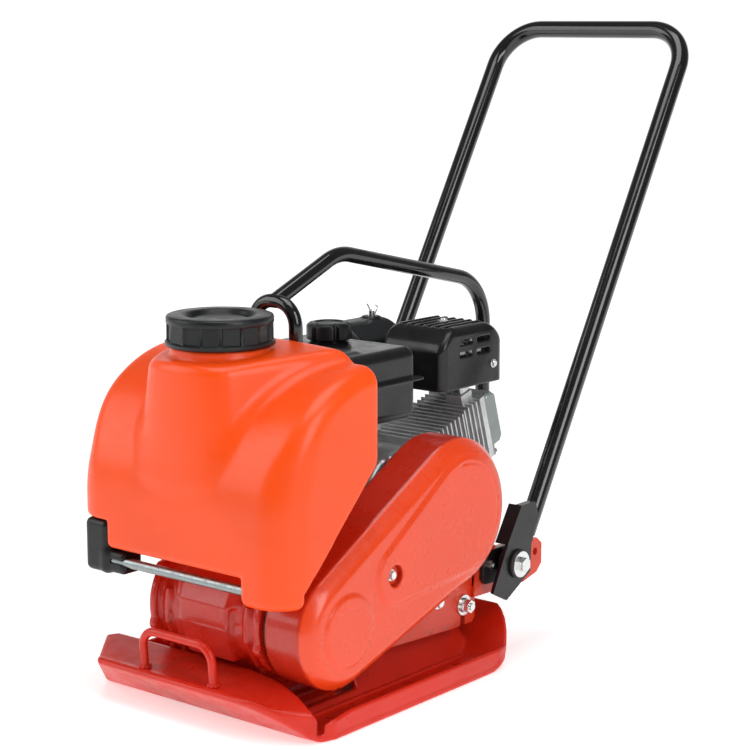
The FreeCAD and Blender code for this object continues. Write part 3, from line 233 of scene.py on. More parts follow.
def rubber(name, colour):
    """Black rubber with a grey bloom."""
    p = Paint(name, colour, 0.72)
    bloom = p.span(p.noise(40, 5, 0.65), 0.45, 0.75)
    p.colour(p.mix(p.math("MULTIPLY", bloom, 0.35), colour, (0.07, 0.07, 0.068)))
    p.roughness(p.span(bloom, 0.0, 1.0, 0.62, 0.85))
    p.bump(p.noise(900, 3), 0.00012)
    return p.material


def pleated_paper(name, colour):
    """Filter paper, folded in rings about the upright axis, with painted shade in the folds."""
    p = Paint(name, colour, 0.9)
    wave = p.tree.nodes.new("ShaderNodeTexWave")
    wave.wave_type = "RINGS"
    wave.rings_direction = "Z"
    wave.inputs["Scale"].default_value = 90
    p.link(p.place, wave.inputs["Vector"])
    # painted shade: the troughs of the pleat wave are darkened in colour as well as sunk by the bump
    p.colour(p.mix(wave.outputs["Fac"], darker(colour, 0.6), colour))
    p.bump(wave.outputs["Fac"], 0.001)
    return p.material


def front_band_paint(name, colour):
    """Sole paint: overspray speckle round the grip, dust on upward faces and scuffed edges."""
    p = Paint(name, colour, 0.30, Coat_Weight=0.15, Coat_Roughness=0.1, Specular_IOR_Level=0.35)
    x, y = p.axis("X"), p.axis("Y")
    drift = p.span(p.noise(7, 4), 0.3, 0.7)
    base = p.mix(drift, darker(colour, 0.88), colour)
    speckle = p.span(p.noise(900, 3, 0.7), 0.46, 0.56)
    zone_x = p.span(p.math("ABSOLUTE", p.math("ADD", x, 0.01)), 0.115, 0.045)
    zone_y = p.math("MULTIPLY", p.span(y, -0.170, -0.205), p.span(y, -0.262, -0.225))
    zone = p.math("MULTIPLY", p.math("MULTIPLY", zone_x, zone_y), p.span(p.noise(26, 3), 0.3, 0.55))
    base = p.mix(p.math("MULTIPLY", p.math("MULTIPLY", zone, speckle), 0.8), base, (0.33, 0.030, 0.010))
    dust = p.math("MULTIPLY", p.span(p.slope("Z"), 0.5, 0.95), p.span(p.noise(300, 5, 0.7), 0.45, 0.75))
    base = p.mix(p.math("MULTIPLY", dust, 0.18), base, (0.66, 0.16, 0.14))
    scrape = p.math("MULTIPLY", p.edges(0.53, 0.60), p.span(p.noise(160, 5, 0.7), 0.50, 0.60))
    p.colour(p.mix(p.math("MULTIPLY", scrape, 0.6), base, (0.30, 0.05, 0.03)))
    p.roughness(p.span(p.noise(40, 4), 0.25, 0.75, 0.26, 0.48))
    p.bump(p.noise(650, 2), 0.00006)
    p.bump(p.noise(55, 5, 0.6), 0.0005)
    return p.material


RED = (0.72, 0.020, 0.004)
ORANGE_RED = (0.76, 0.045, 0.010)
ORANGE = (0.92, 0.085, 0.005)
BLACK = (0.006, 0.006, 0.007)

MATERIALS = {
    "sole_paint": front_band_paint("sole_paint", RED),
    "bright_paint": painted("bright_paint", ORANGE_RED, 0.30, 0.00004, 0.0003, 0.5),
    "cast_paint": painted("cast_paint", darker(RED, 0.9), 0.30, 0.00008, 0.0012, 0.3, coat=0.5),
    "orange_plastic": moulded("orange_plastic", ORANGE, 0.33, 0.00003, coat=0.15),
    "tank_plastic": moulded("tank_plastic", (0.96, 0.078, 0.003), 0.38, 0.00001, coat=0.12),
    "pipe_steel": bare_metal("pipe_steel", (0.30, 0.34, 0.34), 0.34, 0.00001, 0.00001,
                             (0.20, 0.22, 0.21), 0.3),
    # the second colour is painted shade for the cover's side walls
    "cover_plastic": cover_moulding("cover_plastic", (0.86, 0.062, 0.008), (0.52, 0.022, 0.006)),
    "black_paint": painted("black_paint", BLACK, 0.16, 0.00002, 0.00012, 0.2, coat=0.7),
    "black_steel": painted("black_steel", (0.008, 0.008, 0.009), 0.30, 0.00003, 0.0002, 0.35, coat=0.15),
    "black_plastic": moulded("black_plastic", (0.008, 0.009, 0.010), 0.36, 0.00005),
    "black_rubber": rubber("black_rubber", (0.018, 0.018, 0.018)),
    "zinc": bare_metal("zinc", (0.78, 0.80, 0.80), 0.26, 0.00001, 0.00002, (0.62, 0.52, 0.34), 0.25),
    "steel": bare_metal("steel", (0.56, 0.57, 0.58), 0.32, 0.00002, 0.00002),
    "cast_aluminium": cast_metal("cast_aluminium", (0.74, 0.75, 0.76), 0.34, 0.72, 0.0003),
    "grey_paint": painted("grey_paint", (0.30, 0.345, 0.33), 0.38, 0.00005, 0.0004, 0.2),
    "cast_iron": cast_metal("cast_iron", (0.10, 0.10, 0.105), 0.6, 0.6, 0.0006),
    "filter_paper": pleated_paper("filter_paper", (0.75, 0.60, 0.34)),
    "copper_plug": bare_metal("copper_plug", (0.75, 0.74, 0.70), 0.3, 0.00001, 0.00002),
}


for node, carried in frame["nodes"].items():
    for index in range(max(1, len(carried.material_slots))):
        if carried.material_slots:
            carried.material_slots[index].material = MATERIALS[SLOT_OF[node]]


# --------------------------------------------------------- solid shape modelling

class Solid:
    """Grid of points in millimetres over a box, on which forms are signed distances."""

    def __init__(self, low, high, step):
        self.step = step * 1.0
        self.low = np.array(low, float) - 3 * self.step
        count = np.ceil((np.array(high) + 3 * self.step - self.low) / self.step).astype(int) + 1
        steps = [self.low[i] + self.step * np.arange(count[i]) for i in range(3)]
        self.x, self.y, self.z = np.meshgrid(*steps, indexing="ij", sparse=True)

    def split(self, axis, mirrored=False):
        """Coordinate along an axis, and the two across it."""
        x = np.abs(self.x) if mirrored else self.x
        if axis == "x":
            return x, self.y, self.z
        if axis == "y":
            return self.y, x, self.z
        return self.z, x, self.y

    def box(self, low, high, r=0.0):
        parts = [np.abs(p - (a + b) / 2) - ((b - a) / 2 - r)
                 for p, a, b in zip((self.x, self.y, self.z), low, high)]
        outside = np.sqrt(sum(np.maximum(q, 0) ** 2 for q in parts))
        return outside + np.minimum(np.maximum(np.maximum(parts[0], parts[1]), parts[2]), 0) - r

    def pushed(self, flat, along, start, end, r):
        """Flat distance turned into a slab between two planes, its edges rounded."""
        cap = np.abs(along - (start + end) / 2) - ((end - start) / 2 - r)
        flat = flat + r
        corner = np.hypot(np.maximum(flat, 0), np.maximum(cap, 0))
        return corner + np.minimum(np.maximum(flat, cap), 0) - r

    def rod(self, axis, centre, radius, start, end, r=0.0):
        along, a, b = self.split(axis)
        return self.pushed(np.hypot(a - centre[0], b - centre[1]) - radius, along, start, end, r)

    def prism(self, axis, outline, start, end, r=0.0, mirrored=False):
        along, a, b = self.split(axis, mirrored)
        return self.pushed(outline_distance(a, b, outline), along, start, end, r)

    def bar(self, start, end, radius):
        """Round bar with domed ends."""
        way = np.array(end, float) - np.array(start, float)
        gap = [p - s for p, s in zip((self.x, self.y, self.z), start)]
        share = sum(g * w for g, w in zip(gap, way)) / way.dot(way)
        share = np.clip(share, 0, 1)
        return np.sqrt(sum((g - w * share) ** 2 for g, w in zip(gap, way))) - radius


def outline_distance(u, v, points):
    """Signed distance to a closed outline, negative inside."""
    nearest, side = None, 1.0
    for (x0, y0), (x1, y1) in zip(points, points[1:] + points[:1]):
        ex, ey = x1 - x0, y1 - y0
        wx, wy = u - x0, v - y0
        share = np.clip((wx * ex + wy * ey) / (ex * ex + ey * ey), 0, 1)
        far = (wx - ex * share) ** 2 + (wy - ey * share) ** 2
        nearest = far if nearest is None else np.minimum(nearest, far)
        above, below, left = v >= y0, v < y1, ex * wy > ey * wx
        side = np.where((above & below & left) | (~above & ~below & ~left), -side, side)
    return np.sqrt(nearest) * side


def meet(a, b, r=0.0):
    """Where both forms are, with an edge of the given radius."""
    corner = np.hypot(np.maximum(a + r, 0), np.maximum(b + r, 0))
    return np.minimum(np.maximum(a, b), -r) + corner


def join(a, b, r=0.0):
    """Both forms together, with a fillet of the given radius."""
    return -meet(-a, -b, r)


def carve(a, b, r=0.0):
    """The first form less the second."""
    return meet(a, -b, r)


def arc(centre, radius, first, last, count):
    """Points along an arc, angles in degrees."""
    turn = np.radians(np.linspace(first, last, count))
    return [(centre[0] + radius * math.cos(t), centre[1] + radius * math.sin(t)) for t in turn]


CORNERS = [(i, j, k) for i in (0, 1) for j in (0, 1) for k in (0, 1)]


def sampled(values, where):
    """Values of a grid between its points, where is in grid steps."""
    base = np.clip(np.floor(where).astype(int), 0, np.array(values.shape) - 2)
    share = where - base
    total = 0.0
    for corner in CORNERS:
        weight = np.prod(np.where(np.array(corner) == 1, share, 1 - share), axis=1)
        i, j, k = (base + corner).T
        total = total + weight * values[i, j, k]
    return total


def skin(values):
    """Vertices, in grid steps, and quads of the surface where the values change sign."""
    inside = values < 0
    cells = tuple(n - 1 for n in values.shape)

    def at(array, corner):
        return array[tuple(slice(c, c + n) for c, n in zip(corner, cells))]

    filled = sum(at(inside, corner).astype(np.int8) for corner in CORNERS)
    mixed = (filled > 0) & (filled < 8)
    number = np.full(cells, -1)
    number[mixed] = np.arange(mixed.sum())
    origin = np.argwhere(mixed)
    total = np.zeros((len(origin), 3))
    hits = np.zeros(len(origin))
    for corner in CORNERS:
        for axis in range(3):
            if corner[axis]:
                continue
            other = tuple(c + (i == axis) for i, c in enumerate(corner))
            a, b = at(values, corner)[mixed], at(values, other)[mixed]
            crossed = (a < 0) != (b < 0)
            point = origin + np.array(corner, float)
            point[:, axis] += np.where(crossed, a / np.where(crossed, a - b, 1), 0)
            total += point * crossed[:, None]
            hits += crossed
    quads = []
    for axis in range(3):
        ahead = [slice(None)] * 3
        ahead[axis] = slice(1, None)
        behind = [slice(None)] * 3
        behind[axis] = slice(None, -1)
        change = inside[tuple(ahead)] != inside[tuple(behind)]
        spots = np.argwhere(change)
        b, c = (axis + 1) % 3, (axis + 2) % 3
        spots = spots[(spots[:, b] > 0) & (spots[:, c] > 0)
                      & (spots[:, b] < cells[b]) & (spots[:, c] < cells[c])]
        ring = []
        for db, dc in ((1, 1), (0, 1), (0, 0), (1, 0)):
            cell = spots.copy()
            cell[:, b] -= db
            cell[:, c] -= dc
            ring.append(number[tuple(cell.T)])
        ring = np.stack(ring, axis=1)
        outward = inside[tuple(spots.T)]
        quads.append(np.where(outward[:, None], ring, ring[:, ::-1]))
    return total / hits[:, None], np.concatenate(quads)


def finish_piece(piece, nodes, paint=None):
    """Material, body and slot of a piece that stands for one or more nodes."""
    slot_name = SLOT_OF[nodes[0]]
    piece.data.materials.clear()
    piece.data.materials.append(MATERIALS[paint or slot_name])
    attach(piece, BODY_OF[nodes[0]])
    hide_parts(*nodes)
    return piece


def new_piece(name, vertices, faces):
    """Smooth-shaded mesh object in the scene."""
    mesh = bpy.data.meshes.new(name)
    mesh.from_pydata([tuple(v) for v in vertices], [], [tuple(f) for f in faces])
    mesh.validate()
    mesh.polygons.foreach_set("use_smooth", [True] * len(mesh.polygons))
    mesh.update()
    piece = bpy.data.objects.new(name, mesh)
    bpy.context.scene.collection.objects.link(piece)
    return piece


def solid_piece(name, grid, form, nodes, paint=None):
    """Mesh of a distance form, drawn onto its surface and shaded by its true slope."""
    values = np.broadcast_to(form, (grid.x.size, grid.y.size, grid.z.size)).astype(float)
    places, quads = skin(values)
    slopes = np.gradient(values)
    for _ in range(2):
        slope = np.stack([sampled(part, places) for part in slopes], axis=1)
        size = np.maximum((slope ** 2).sum(axis=1), 0.05)
        reach = np.clip(sampled(values, places) / size, -0.5, 0.5)
        places = places - slope * reach[:, None]
    slope = np.stack([sampled(part, places) for part in slopes], axis=1)
    normals = slope / np.maximum(np.linalg.norm(slope, axis=1), 1e-6)[:, None]
    piece = new_piece(name, (grid.low + places * grid.step) * MM, quads.tolist())
    if len(piece.data.vertices) == len(normals):
        piece.data.normals_split_custom_set_from_vertices(normals.tolist())
    return finish_piece(piece, nodes, paint)


def softened(node, width, paint=None):
    """Copy of a CAD node with its edges rounded."""
    source = frame["nodes"][node]
    mesh = source.data.copy()
    work = bmesh.new()
    work.from_mesh(mesh)
    bmesh.ops.remove_doubles(work, verts=work.verts, dist=0.00002)
    bmesh.ops.dissolve_limit(work, angle_limit=math.radians(1.0), verts=work.verts, edges=work.edges)
    sharp = [e for e in work.edges if len(e.link_faces) == 2
             and e.calc_face_angle(0) > math.radians(BEVELLED_FROM)]
    bmesh.ops.bevel(work, geom=sharp, offset=width * MM, segments=3, profile=0.5, affect="EDGES",
                    clamp_overlap=True, harden_normals=False)
    work.to_mesh(mesh)
    work.free()
    mesh.polygons.foreach_set("use_smooth", [True] * len(mesh.polygons))
    mesh.set_sharp_from_angle(angle=math.radians(SHARP_FROM))
    piece = bpy.data.objects.new(node + "_soft", mesh)
    bpy.context.scene.collection.objects.link(piece)
    even = piece.modifiers.new("even_shading", "WEIGHTED_NORMAL")
    even.keep_sharp = True
    return finish_piece(piece, [node], paint)


def turned(name, centre, profile, count, nodes, flute=None, paint=None):
    """Lathe form on a vertical axis; flute gives the share of the radius at each angle and point."""
    vertices, faces = [], []
    for index, (radius, height) in enumerate(profile):
        for step in range(count):
            angle = 2 * math.pi * step / count
            r = radius * (flute(angle, index) if flute else 1.0)
            vertices.append(((centre[0] + r * math.cos(angle)) * MM,
                             (centre[1] + r * math.sin(angle)) * MM, height * MM))
    rows = len(profile)
    for row in range(rows - 1):
        for step in range(count):
            after = (step + 1) % count
            faces.append((row * count + step, row * count + after,
                          (row + 1) * count + after, (row + 1) * count + step))
    faces.append(tuple(range(count))[::-1])
    faces.append(tuple((rows - 1) * count + step for step in range(count)))
    piece = new_piece(name, vertices, faces)
    piece.data.set_sharp_from_angle(angle=math.radians(50))
    return finish_piece(piece, nodes, paint)


def beads(name, routes, radius, body, slot_name, seed):
    """Weld beads: short overlapping scales along each route."""
    rng = np.random.default_rng(seed)
    vertices, faces = [], []
    for route in routes:
        points = [Vector(p) for p in route]
        for a, b in zip(points, points[1:]):
            way = (b - a).normalized()
            side = way.cross(Vector((0, 0, 1))).normalized()
            up = side.cross(way)
            count = max(2, int((b - a).length / (radius * 0.28)))
            start = len(vertices)
            for step in range(count + 1):
                middle = a.lerp(b, step / count)
                swell = radius * (0.86 + 0.16 * abs(math.sin(step * 0.9)) + rng.uniform(-0.05, 0.05))
                if step in (0, count):
                    swell *= 0.55
                for turn in range(BEAD_SIDES):
                    t = 2 * math.pi * turn / BEAD_SIDES
                    vertices.append((middle + side * (swell * math.cos(t)) + up * (swell * math.sin(t))) * MM)
            for step in range(count):
                row = start + step * BEAD_SIDES
                above = row + BEAD_SIDES
                for turn in range(BEAD_SIDES):
                    after = (turn + 1) % BEAD_SIDES
                    faces.append((row + turn, row + after, above + after, above + turn))
            last = start + count * BEAD_SIDES
            faces.append(tuple(start + turn for turn in range(BEAD_SIDES))[::-1])
            faces.append(tuple(last + turn for turn in range(BEAD_SIDES)))
    piece = new_piece(name, vertices, faces)
    piece.data.materials.append(MATERIALS[slot_name])
    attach(piece, body)
    return piece


# -------------------------------------------------------------------- the sole

EXCITER = (-130.0, 132.0)       # y and z of the eccentric shaft, in millimetres
CRANK = (117.0, 238.0)          # y and z of the crankshaft
NECK = (0.0, -157.0)            # x and y of the filler neck
STUD_REAR = (177.0, 88.0)       # y and z of the stud holes in the beams
STUD_FRONT = (0.0, 100.0)


def make_base_plate():
    """Pressed sole with its side strips, closed front strip and the two bent beams."""
    g = Solid((-210, -262, 0), (210, 256, 112), 2.6)
    x = np.abs(g.x)
    front_left = [(-139, -260), (-195, -190)]
    front_right = [(0, -262), (105, -260)] + arc((105, -153), 107, -80, -30, 6)
    rear_right = arc((128, 172), 84, 10, 80, 8)
    plan = front_right + [(210, -170), (210, 165)] + rear_right + [(120, 256), (-120, 256)]
    plan += [(-a, b) for a, b in rear_right[::-1]] + [(-210, 165), (-210, -172)] + front_left[::-1]
    edge = outline_distance(g.x, g.y, plan)
    front_curve = arc((-185, 30), 30, 228, 270, 7)
    under = [(-258, 53)] + front_curve + arc((162, 62), 62, 270, 318, 8) + [(254, 72)]
    over = [(248, 77)] + arc((162, 62), 54, 318, 270, 8) + arc((-185, 30), 22, 270, 228, 7) + [(-253, 60)]
    form = meet(outline_distance(g.y, g.z, under + over), edge, 3.0)
    section = arc((195, 15), 15, 270, 360, 7) + [(210, 60), (202.5, 60)] + arc((195, 15), 7.5, 360, 270, 6)
    profile = [(-240, 12), (-205, 22), (-140, 32), (205, 32), (226, 30), (206, 12), (170, 0), (-185, 0),
               (-203, 8)]
    strip = meet(outline_distance(x, g.z, section), outline_distance(g.y, g.z, profile), 2.0)
    form = join(form, meet(strip, edge, 2.0), 3.0)
    drop = -190 + np.sqrt(np.maximum(250 ** 2 - np.maximum(g.x - 95, 0) ** 2, 0))
    top = drop - 4 + 0.125 * (g.y + 266)
    band_plan = front_right + [(207, -205), (165, -193), (113, -183), (68, -176), (0, -174), (-184, -176)]
    band_plan += front_left[::-1]
    lip = [(-259, 53), (-262, 60), (-262, 90), (-172, 90), (-172, 2)] + front_curve[::-1]
    band = meet(outline_distance(g.x, g.y, band_plan), outline_distance(g.y, g.z, lip), 4.0)
    form = join(form, meet(band, g.z - top, 3.5), 3.0)
    bent = [(137, 6), (145, 6), (117, 62), (117, 112), (109, 112), (109, 60)]
    form = join(form, g.prism("y", bent, -44, 203, 2.0, mirrored=True), 4.0)
    rail = [(137, 4), (146, 4), (139, 19), (131, 19)]
    form = join(form, g.prism("y", rail, -196, -40, 1.5, mirrored=True), 3.0)
    gusset = [(134, 4), (204, 4), (204, 22)]
    for y in (42, 148):
        form = join(form, g.prism("y", gusset, y, y + 5, 1.0, mirrored=True), 2.0)
    form = join(form, g.box((-88, -172, 4), (108, -56, 13.5), 2.0), 3.0)
    for y, z in (STUD_REAR, STUD_FRONT):
        form = carve(form, np.maximum(np.hypot(g.y - y, g.z - z) - 5.4, 100 - x), 0.0)
    solid_piece("sole_plate", g, form, ["base_plate"])
    foot = [[(side * 146.5, y, 9.5) for y in (-204, 201)] for side in (-1, 1)]
    round_leg = [(6.5 * math.cos(t), 6.5 * math.sin(t)) for t in np.linspace(0, 6.28, 9)]
    legs = [[(side * 63 + across, -244 + along, 60.5) for across, along in round_leg] for side in (-1, 1)]
    pad = [[(-88, -56, 11), (108, -56, 11)]]
    beads("weld_beads", foot + pad, 4.6, "chassis", "sole_paint", 5)
    beads("grip_welds", legs, 3.0, "chassis", "sole_paint", 6)


def make_exciter():
    """Cast exciter housing: barrel, flanges with bolt bosses, framed front panel and foot."""
    g = Solid((-90, -212, 14), (110, -48, 214), 2.0)
    y, z = EXCITER
    form = g.rod("x", EXCITER, 70, -90, 110, 2)
    for start, end in ((-90, -79), (99, 110)):
        form = join(form, g.rod("x", EXCITER, 79, start, end, 3), 6)
        for turn in range(6):
            t = math.radians(60 * turn + 20)
            spot = (y + 76 * math.cos(t), z + 76 * math.sin(t))
            boss = g.rod("x", spot, 8.5, start, end, 2)
            form = join(form, boss, 4)
    panel = [(y - 66, z + 44), (y - 79, z + 20), (y - 80, z - 8), (y - 62, z - 56), (y - 18, z - 52),
             (y - 18, z + 56)]
    form = join(form, g.prism("x", panel, -34, 54, 5), 7)
    brow = [(y - 74, z + 22), (y - 68, z + 44), (y - 44, z + 66), (y + 4, z + 74), (y + 4, z)]
    form = join(form, g.prism("x", brow, -46, 66, 7), 8)
    for x in (-62, 82):
        rib = [(y - 70, z + 26), (y - 74, z - 20), (y - 44, z - 72), (y, z - 60), (y, z + 40)]
        form = join(form, g.prism("x", rib, x - 4, x + 4, 2.5), 7)
    form = join(form, g.box((-90, -170, 14), (110, -58, 28), 3), 5)
    form = join(form, g.box((-78, -166, 20), (98, -84, 132), 4), 9)
    form = carve(form, g.box((-120, -260, 0), (140, -171.8, 72.5)), 1.5)
    form = carve(form, g.rod("x", EXCITER, 36, -100, 120), 0)
    form = join(form, g.rod("x", EXCITER, 35.9, -60, 80), 0)
    solid_piece("exciter_casting", g, form, ["exciter_housing"])


# ------------------------------------------------------------------- the tank

def make_tank():
    """Blow-moulded tank: swept body, raised middle, right lobe and the rooms cut in its foot."""
    g = Solid((-192, -253, 176), (192, -60, 494), 2.8)
    side = np.abs(g.x)
    high = np.clip((g.z - 330) / 100, 0, 1)
    corner = 50 - 24 * high * high * (3 - 2 * high)
    body = np.hypot(g.y + 60, np.maximum(g.z - 280, 0)) - 190
    body = meet(body, side - 192, corner)
    body = meet(body, g.y + 60.2, 10)
    body = meet(body, 212.5 - g.z, 10)
    hump_centre = (0, -168)
    hump_radius = 84
    flank = (141, -60)
    across = flank[0] - hump_centre[0]
    along = flank[1] - hump_centre[1]
    turn = math.degrees(math.atan2(along, across) - math.acos(hump_radius / math.hypot(across, along)))
    plan = arc(hump_centre, hump_radius, turn, -180 - turn, 15) + [(-flank[0], flank[1]), flank]
    walls = outline_distance(g.x, g.y, plan) - 0.14 * np.clip(480 - g.z, 0, 120)
    crown = 0.00025 * g.x ** 2
    roof = g.z - (476 + 0.10 * np.clip(g.y + 222, 0, 140) - crown)
    hump = meet(meet(walls, -251.5 - g.y, 30), roof, 12)
    hump = meet(hump, 300 - g.z, 30)
    form = join(body, meet(hump, g.y + 60.2, 8), 15)
    form = join(form, g.rod("z", NECK, 66, 450, 490.2, 2), 5)
    lobe = meet(meet(meet(-250 - g.y, side - 192, 50), 112 - g.x, 13), 176 - g.z, 13)
    lobe = meet(lobe, g.y + 150, 4)
    form = join(form, np.maximum(lobe, g.z - 270), 1)
    belt = [(-206, 150), (-206, 196), (-48, 354), (-20, 354), (-20, 150)]
    form = carve(form, g.prism("x", belt, 112, 230), 8)
    block = [(-300, 150), (-300, 250), (-196, 250), (-48, 354), (-20, 354), (-20, 150)]
    form = carve(form, g.prism("x", block, -230, -127), 6)
    form = carve(form, g.rod("x", (-238, 195), 6.8, 100, 124), 0)
    solid_piece("tank_shell", g, form, ["water_tank"], "tank_plastic")


def make_cap():
    """Screw cap: foot ring, panels set in and out round the skirt, rolled rim and dished top."""
    profile = [(60, 491.2), (71.6, 491.2), (72.5, 492), (72.5, 496), (71, 497.2), (70.4, 497.6), (70.4, 498),
               (70.2, 520), (70.2, 520.4), (70.8, 521.2), (70.8, 527.6), (69.6, 530), (67, 531), (52, 531),
               (48.5, 530.6), (46, 529), (44.5, 525), (42, 523.4), (38, 523.6), (35, 525.2), (31, 525.8),
               (12, 525), (2, 525)]

    panel_count = 16
    skirt = (6, 7)

    def panels(angle, index):
        if index not in skirt:
            return 1.0
        share = (angle * panel_count / (2 * math.pi)) % 2.0
        local = share % 1.0
        flat = 1 / math.cos((local - 0.5) * 2 * math.pi / panel_count)
        recess = 0.036 if 0.08 < share < 0.92 else 0.004
        return min(1.0, 0.985 * flat) - recess
    turned("cap_shell", NECK, profile, 384, ["water_cap"], panels)


def make_corner_block():
    """Moulded end block under the left of the tank, with the toe that holds the pipe."""
    g = Solid((-172, -248, 176), (-98, -206, 249), 1.8)
    form = g.box((-171.9, -247.9, 176), (-128.1, -206.1, 249), 9)
    form = join(form, g.box((-140, -246, 178), (-98, -210, 208), 7), 8)
    form = carve(form, g.rod("x", (-238, 195), 6.8, -130, -90), 0)
    solid_piece("corner_block_shell", g, form, ["corner_block"])


# --------------------------------------------------------------- belt cover

def two_circle_outline(first, small, last, big):
    """Outline of a band stretched round a small and a big circle."""
    slope = math.degrees(math.atan2(last[1] - first[1], last[0] - first[0]))
    flare = math.degrees(math.asin((big - small) / math.hypot(last[0] - first[0], last[1] - first[1])))
    outline = arc(last, big, slope - 90 - flare, slope + 90 + flare, 48)
    return outline + arc(first, small, slope + 90 + flare, slope + 270 - flare, 40)


def make_belt_cover():
    """Moulded belt cover: bevelled rim, inset face with two raised ends and the bolt well."""
    g = Solid((122.5, -212, 30), (200, 224, 345), 2.0)
    edge = outline_distance(g.y, g.z, two_circle_outline(EXCITER, 81, CRANK, 106))
    panel = outline_distance(g.y, g.z, two_circle_outline((-32, 186), 38, CRANK, 79))
    depth = np.clip(-edge, 0, 60)
    face = 200 - 17 * (1 - np.clip(depth / 22, 0, 1)) ** 1.8 - 3.4 * np.clip((panel + 1) / 6, 0, 1)
    small = np.hypot(g.y - EXCITER[0], g.z - EXCITER[1])
    big = np.hypot(g.y - CRANK[0], g.z - CRANK[1])
    face = face + 3.0 * np.clip((50 - small) / 5, 0, 1)
    groove = np.exp(-((big - 74) / 1.3) ** 2)
    groove = groove * np.clip((g.z - 212) / 6, 0, 1) * np.clip((g.y - 96) / 14, 0, 1)
    face = face - 1.6 * groove
    form = meet(edge, g.x - face, 2.0)
    form = meet(form, 122.5 - g.x, 0)
    wall = 5
    inner = meet(edge + wall, g.x - face + wall, 1.0)
    form = carve(form, meet(inner, 100 - g.x), 0)
    well = np.hypot(g.y + 37, g.z - 186)
    form = join(form, np.maximum(well - 20, np.maximum(g.x - 199.6, 185 - g.x)), 1.0)
    form = carve(form, np.maximum(well - 14.5, 189 - g.x), 1.5)
    room = g.box((90, -60, 0), (152.5, 260, 136))
    form = carve(form, room, 0)
    solid_piece("belt_cover_shell", g, form, ["belt_cover"], "cover_plastic")


# ------------------------------------------------------------ engine dress

def make_fuel_tank():
    """Pressed fuel tank with its seam flange, filler neck and raised top."""
    g = Solid((-130, -32, 354), (88, 168, 470), 2.4)
    form = g.box((-122, -24, 354), (80, 160, 457), 15)
    form = join(form, g.box((-129.5, -31.5, 408), (87.5, 167.5, 413.5), 2.5), 2.5)
    form = join(form, g.rod("z", (-40, 108), 26, 440, 462, 2), 5)
    form = join(form, g.box((-100, 0, 440), (58, 60, 459), 6), 8)
    solid_piece("fuel_tank_shell", g, form, ["fuel_tank"])


def make_fuel_cap():
    """Fuel cap with six finger notches round its rim."""
    profile = [(24, 461.5), (29, 461.5), (31, 463), (31, 480), (30, 483), (27, 485), (23, 486), (20.5, 485.6),
               (19.5, 484.2), (8, 484.2), (2, 484.6)]

    notch_count = 6

    def flute(angle, index):
        notch = max(0.0, 1 - abs(((angle * notch_count / (2 * math.pi)) % 1.0) - 0.5) / 0.13)
        return 1.04 - 0.13 * min(1.0, 1.6 * notch) if index in (1, 2, 3, 4, 5) else 1.0
    turned("fuel_cap_shell", (-40, 108), profile, 180, ["fuel_cap"], flute)


def make_muffler_guard():
    """Pressed guard with rounded shoulders, end slots and a row of louvres on top."""
    g = Solid((-36, 218, 380), (80, 367, 471), 1.6)

    def block(inset, floor):
        shell = g.box((-36 + inset, 218 + inset, floor), (80 - inset, 367 - inset, 470 - inset), 13 - inset)
        return meet(shell, (g.z - 470 + inset + 26) * 0.72 + (np.abs(g.y - 292) - 74.5 + inset) * 0.69, 8)
    form = carve(block(0, 360), block(2.6, 340), 0)
    form = meet(form, 380 - g.z, 0)
    for y in (262, 304):
        for z in (430, 448):
            form = carve(form, g.box((68, y - 3.5, z - 3.5), (92, y + 29.5, z + 3.5), 3.4), 0.8)
    for i in range(6):
        x = -22 + 15 * i
        form = join(form, g.box((x, 246, 466), (x + 6, 338, 471), 2.2), 1.5)
        form = carve(form, g.box((x + 6, 250, 460), (x + 9.5, 334, 480), 1.5), 0.5)
    form = join(form, g.rod("z", (22, 296), 9, 466, 470.5, 1), 2)
    solid_piece("muffler_guard_shell", g, form, ["muffler_guard"])


def make_air_cleaner():
    """Air cleaner cover: hollow, shoulders cut off, and a boss for the stud."""
    g = Solid((-155, 197, 400.4), (-50, 305, 471), 2.0)

    def block(inset):
        shape = g.box((-154.5 + inset, 197.5 + inset, 380), (-51.5 - inset, 304.5 - inset, 467 - inset), 14)
        slope = (g.z - 467 + inset + 26) * 0.8 + (np.abs(g.x + 103) - 51.5 + inset) * 0.6
        return meet(shape, slope, 5)
    form = carve(block(0), block(3), 0)
    form = meet(form, 400.6 - g.z, 0)
    form = join(form, g.rod("z", (-100, 276), 14, 455, 470, 2), 4)
    form = carve(form, g.rod("z", (-100, 276), 3.3, 440, 480), 0)
    solid_piece("air_cleaner_shell", g, form, ["air_cleaner_cover"])


def make_crankcase():
    """Die-cast crankcase: bearing boss, ribs, foot and cover flange."""
    g = Solid((-74, 36, 132), (112, 210, 320), 2.4)
    form = g.rod("x", CRANK, 77.5, -70, 84, 5)
    form = join(form, g.box((-70, 48, 140), (84, 198, 238), 8), 6)
    form = join(form, g.box((-74, 36, 132), (92, 208, 145.5), 3), 5)
    form = join(form, g.rod("x", CRANK, 56, 78, 92, 3), 5)
    form = join(form, g.rod("x", CRANK, 43.5, 80, 103.5, 3), 5)
    form = join(form, g.rod("x", CRANK, 28, 100, 112, 2), 3)
    for turn in range(8):
        t = math.radians(45 * turn + 22)
        near = (86, CRANK[0] + 40 * math.cos(t), CRANK[1] + 40 * math.sin(t))
        far = (86, CRANK[0] + 72 * math.cos(t), CRANK[1] + 72 * math.sin(t))
        form = join(form, g.bar(near, far, 3.5), 4)
        form = join(form, g.rod("x", far[1:], 7, 78, 91, 2), 3)
    form = carve(form, g.rod("x", CRANK, 12.8, -90, 130), 0)
    form = join(form, g.rod("x", CRANK, 12.9, -60, 70), 0)
    solid_piece("crankcase_casting", g, form, ["crankcase"])


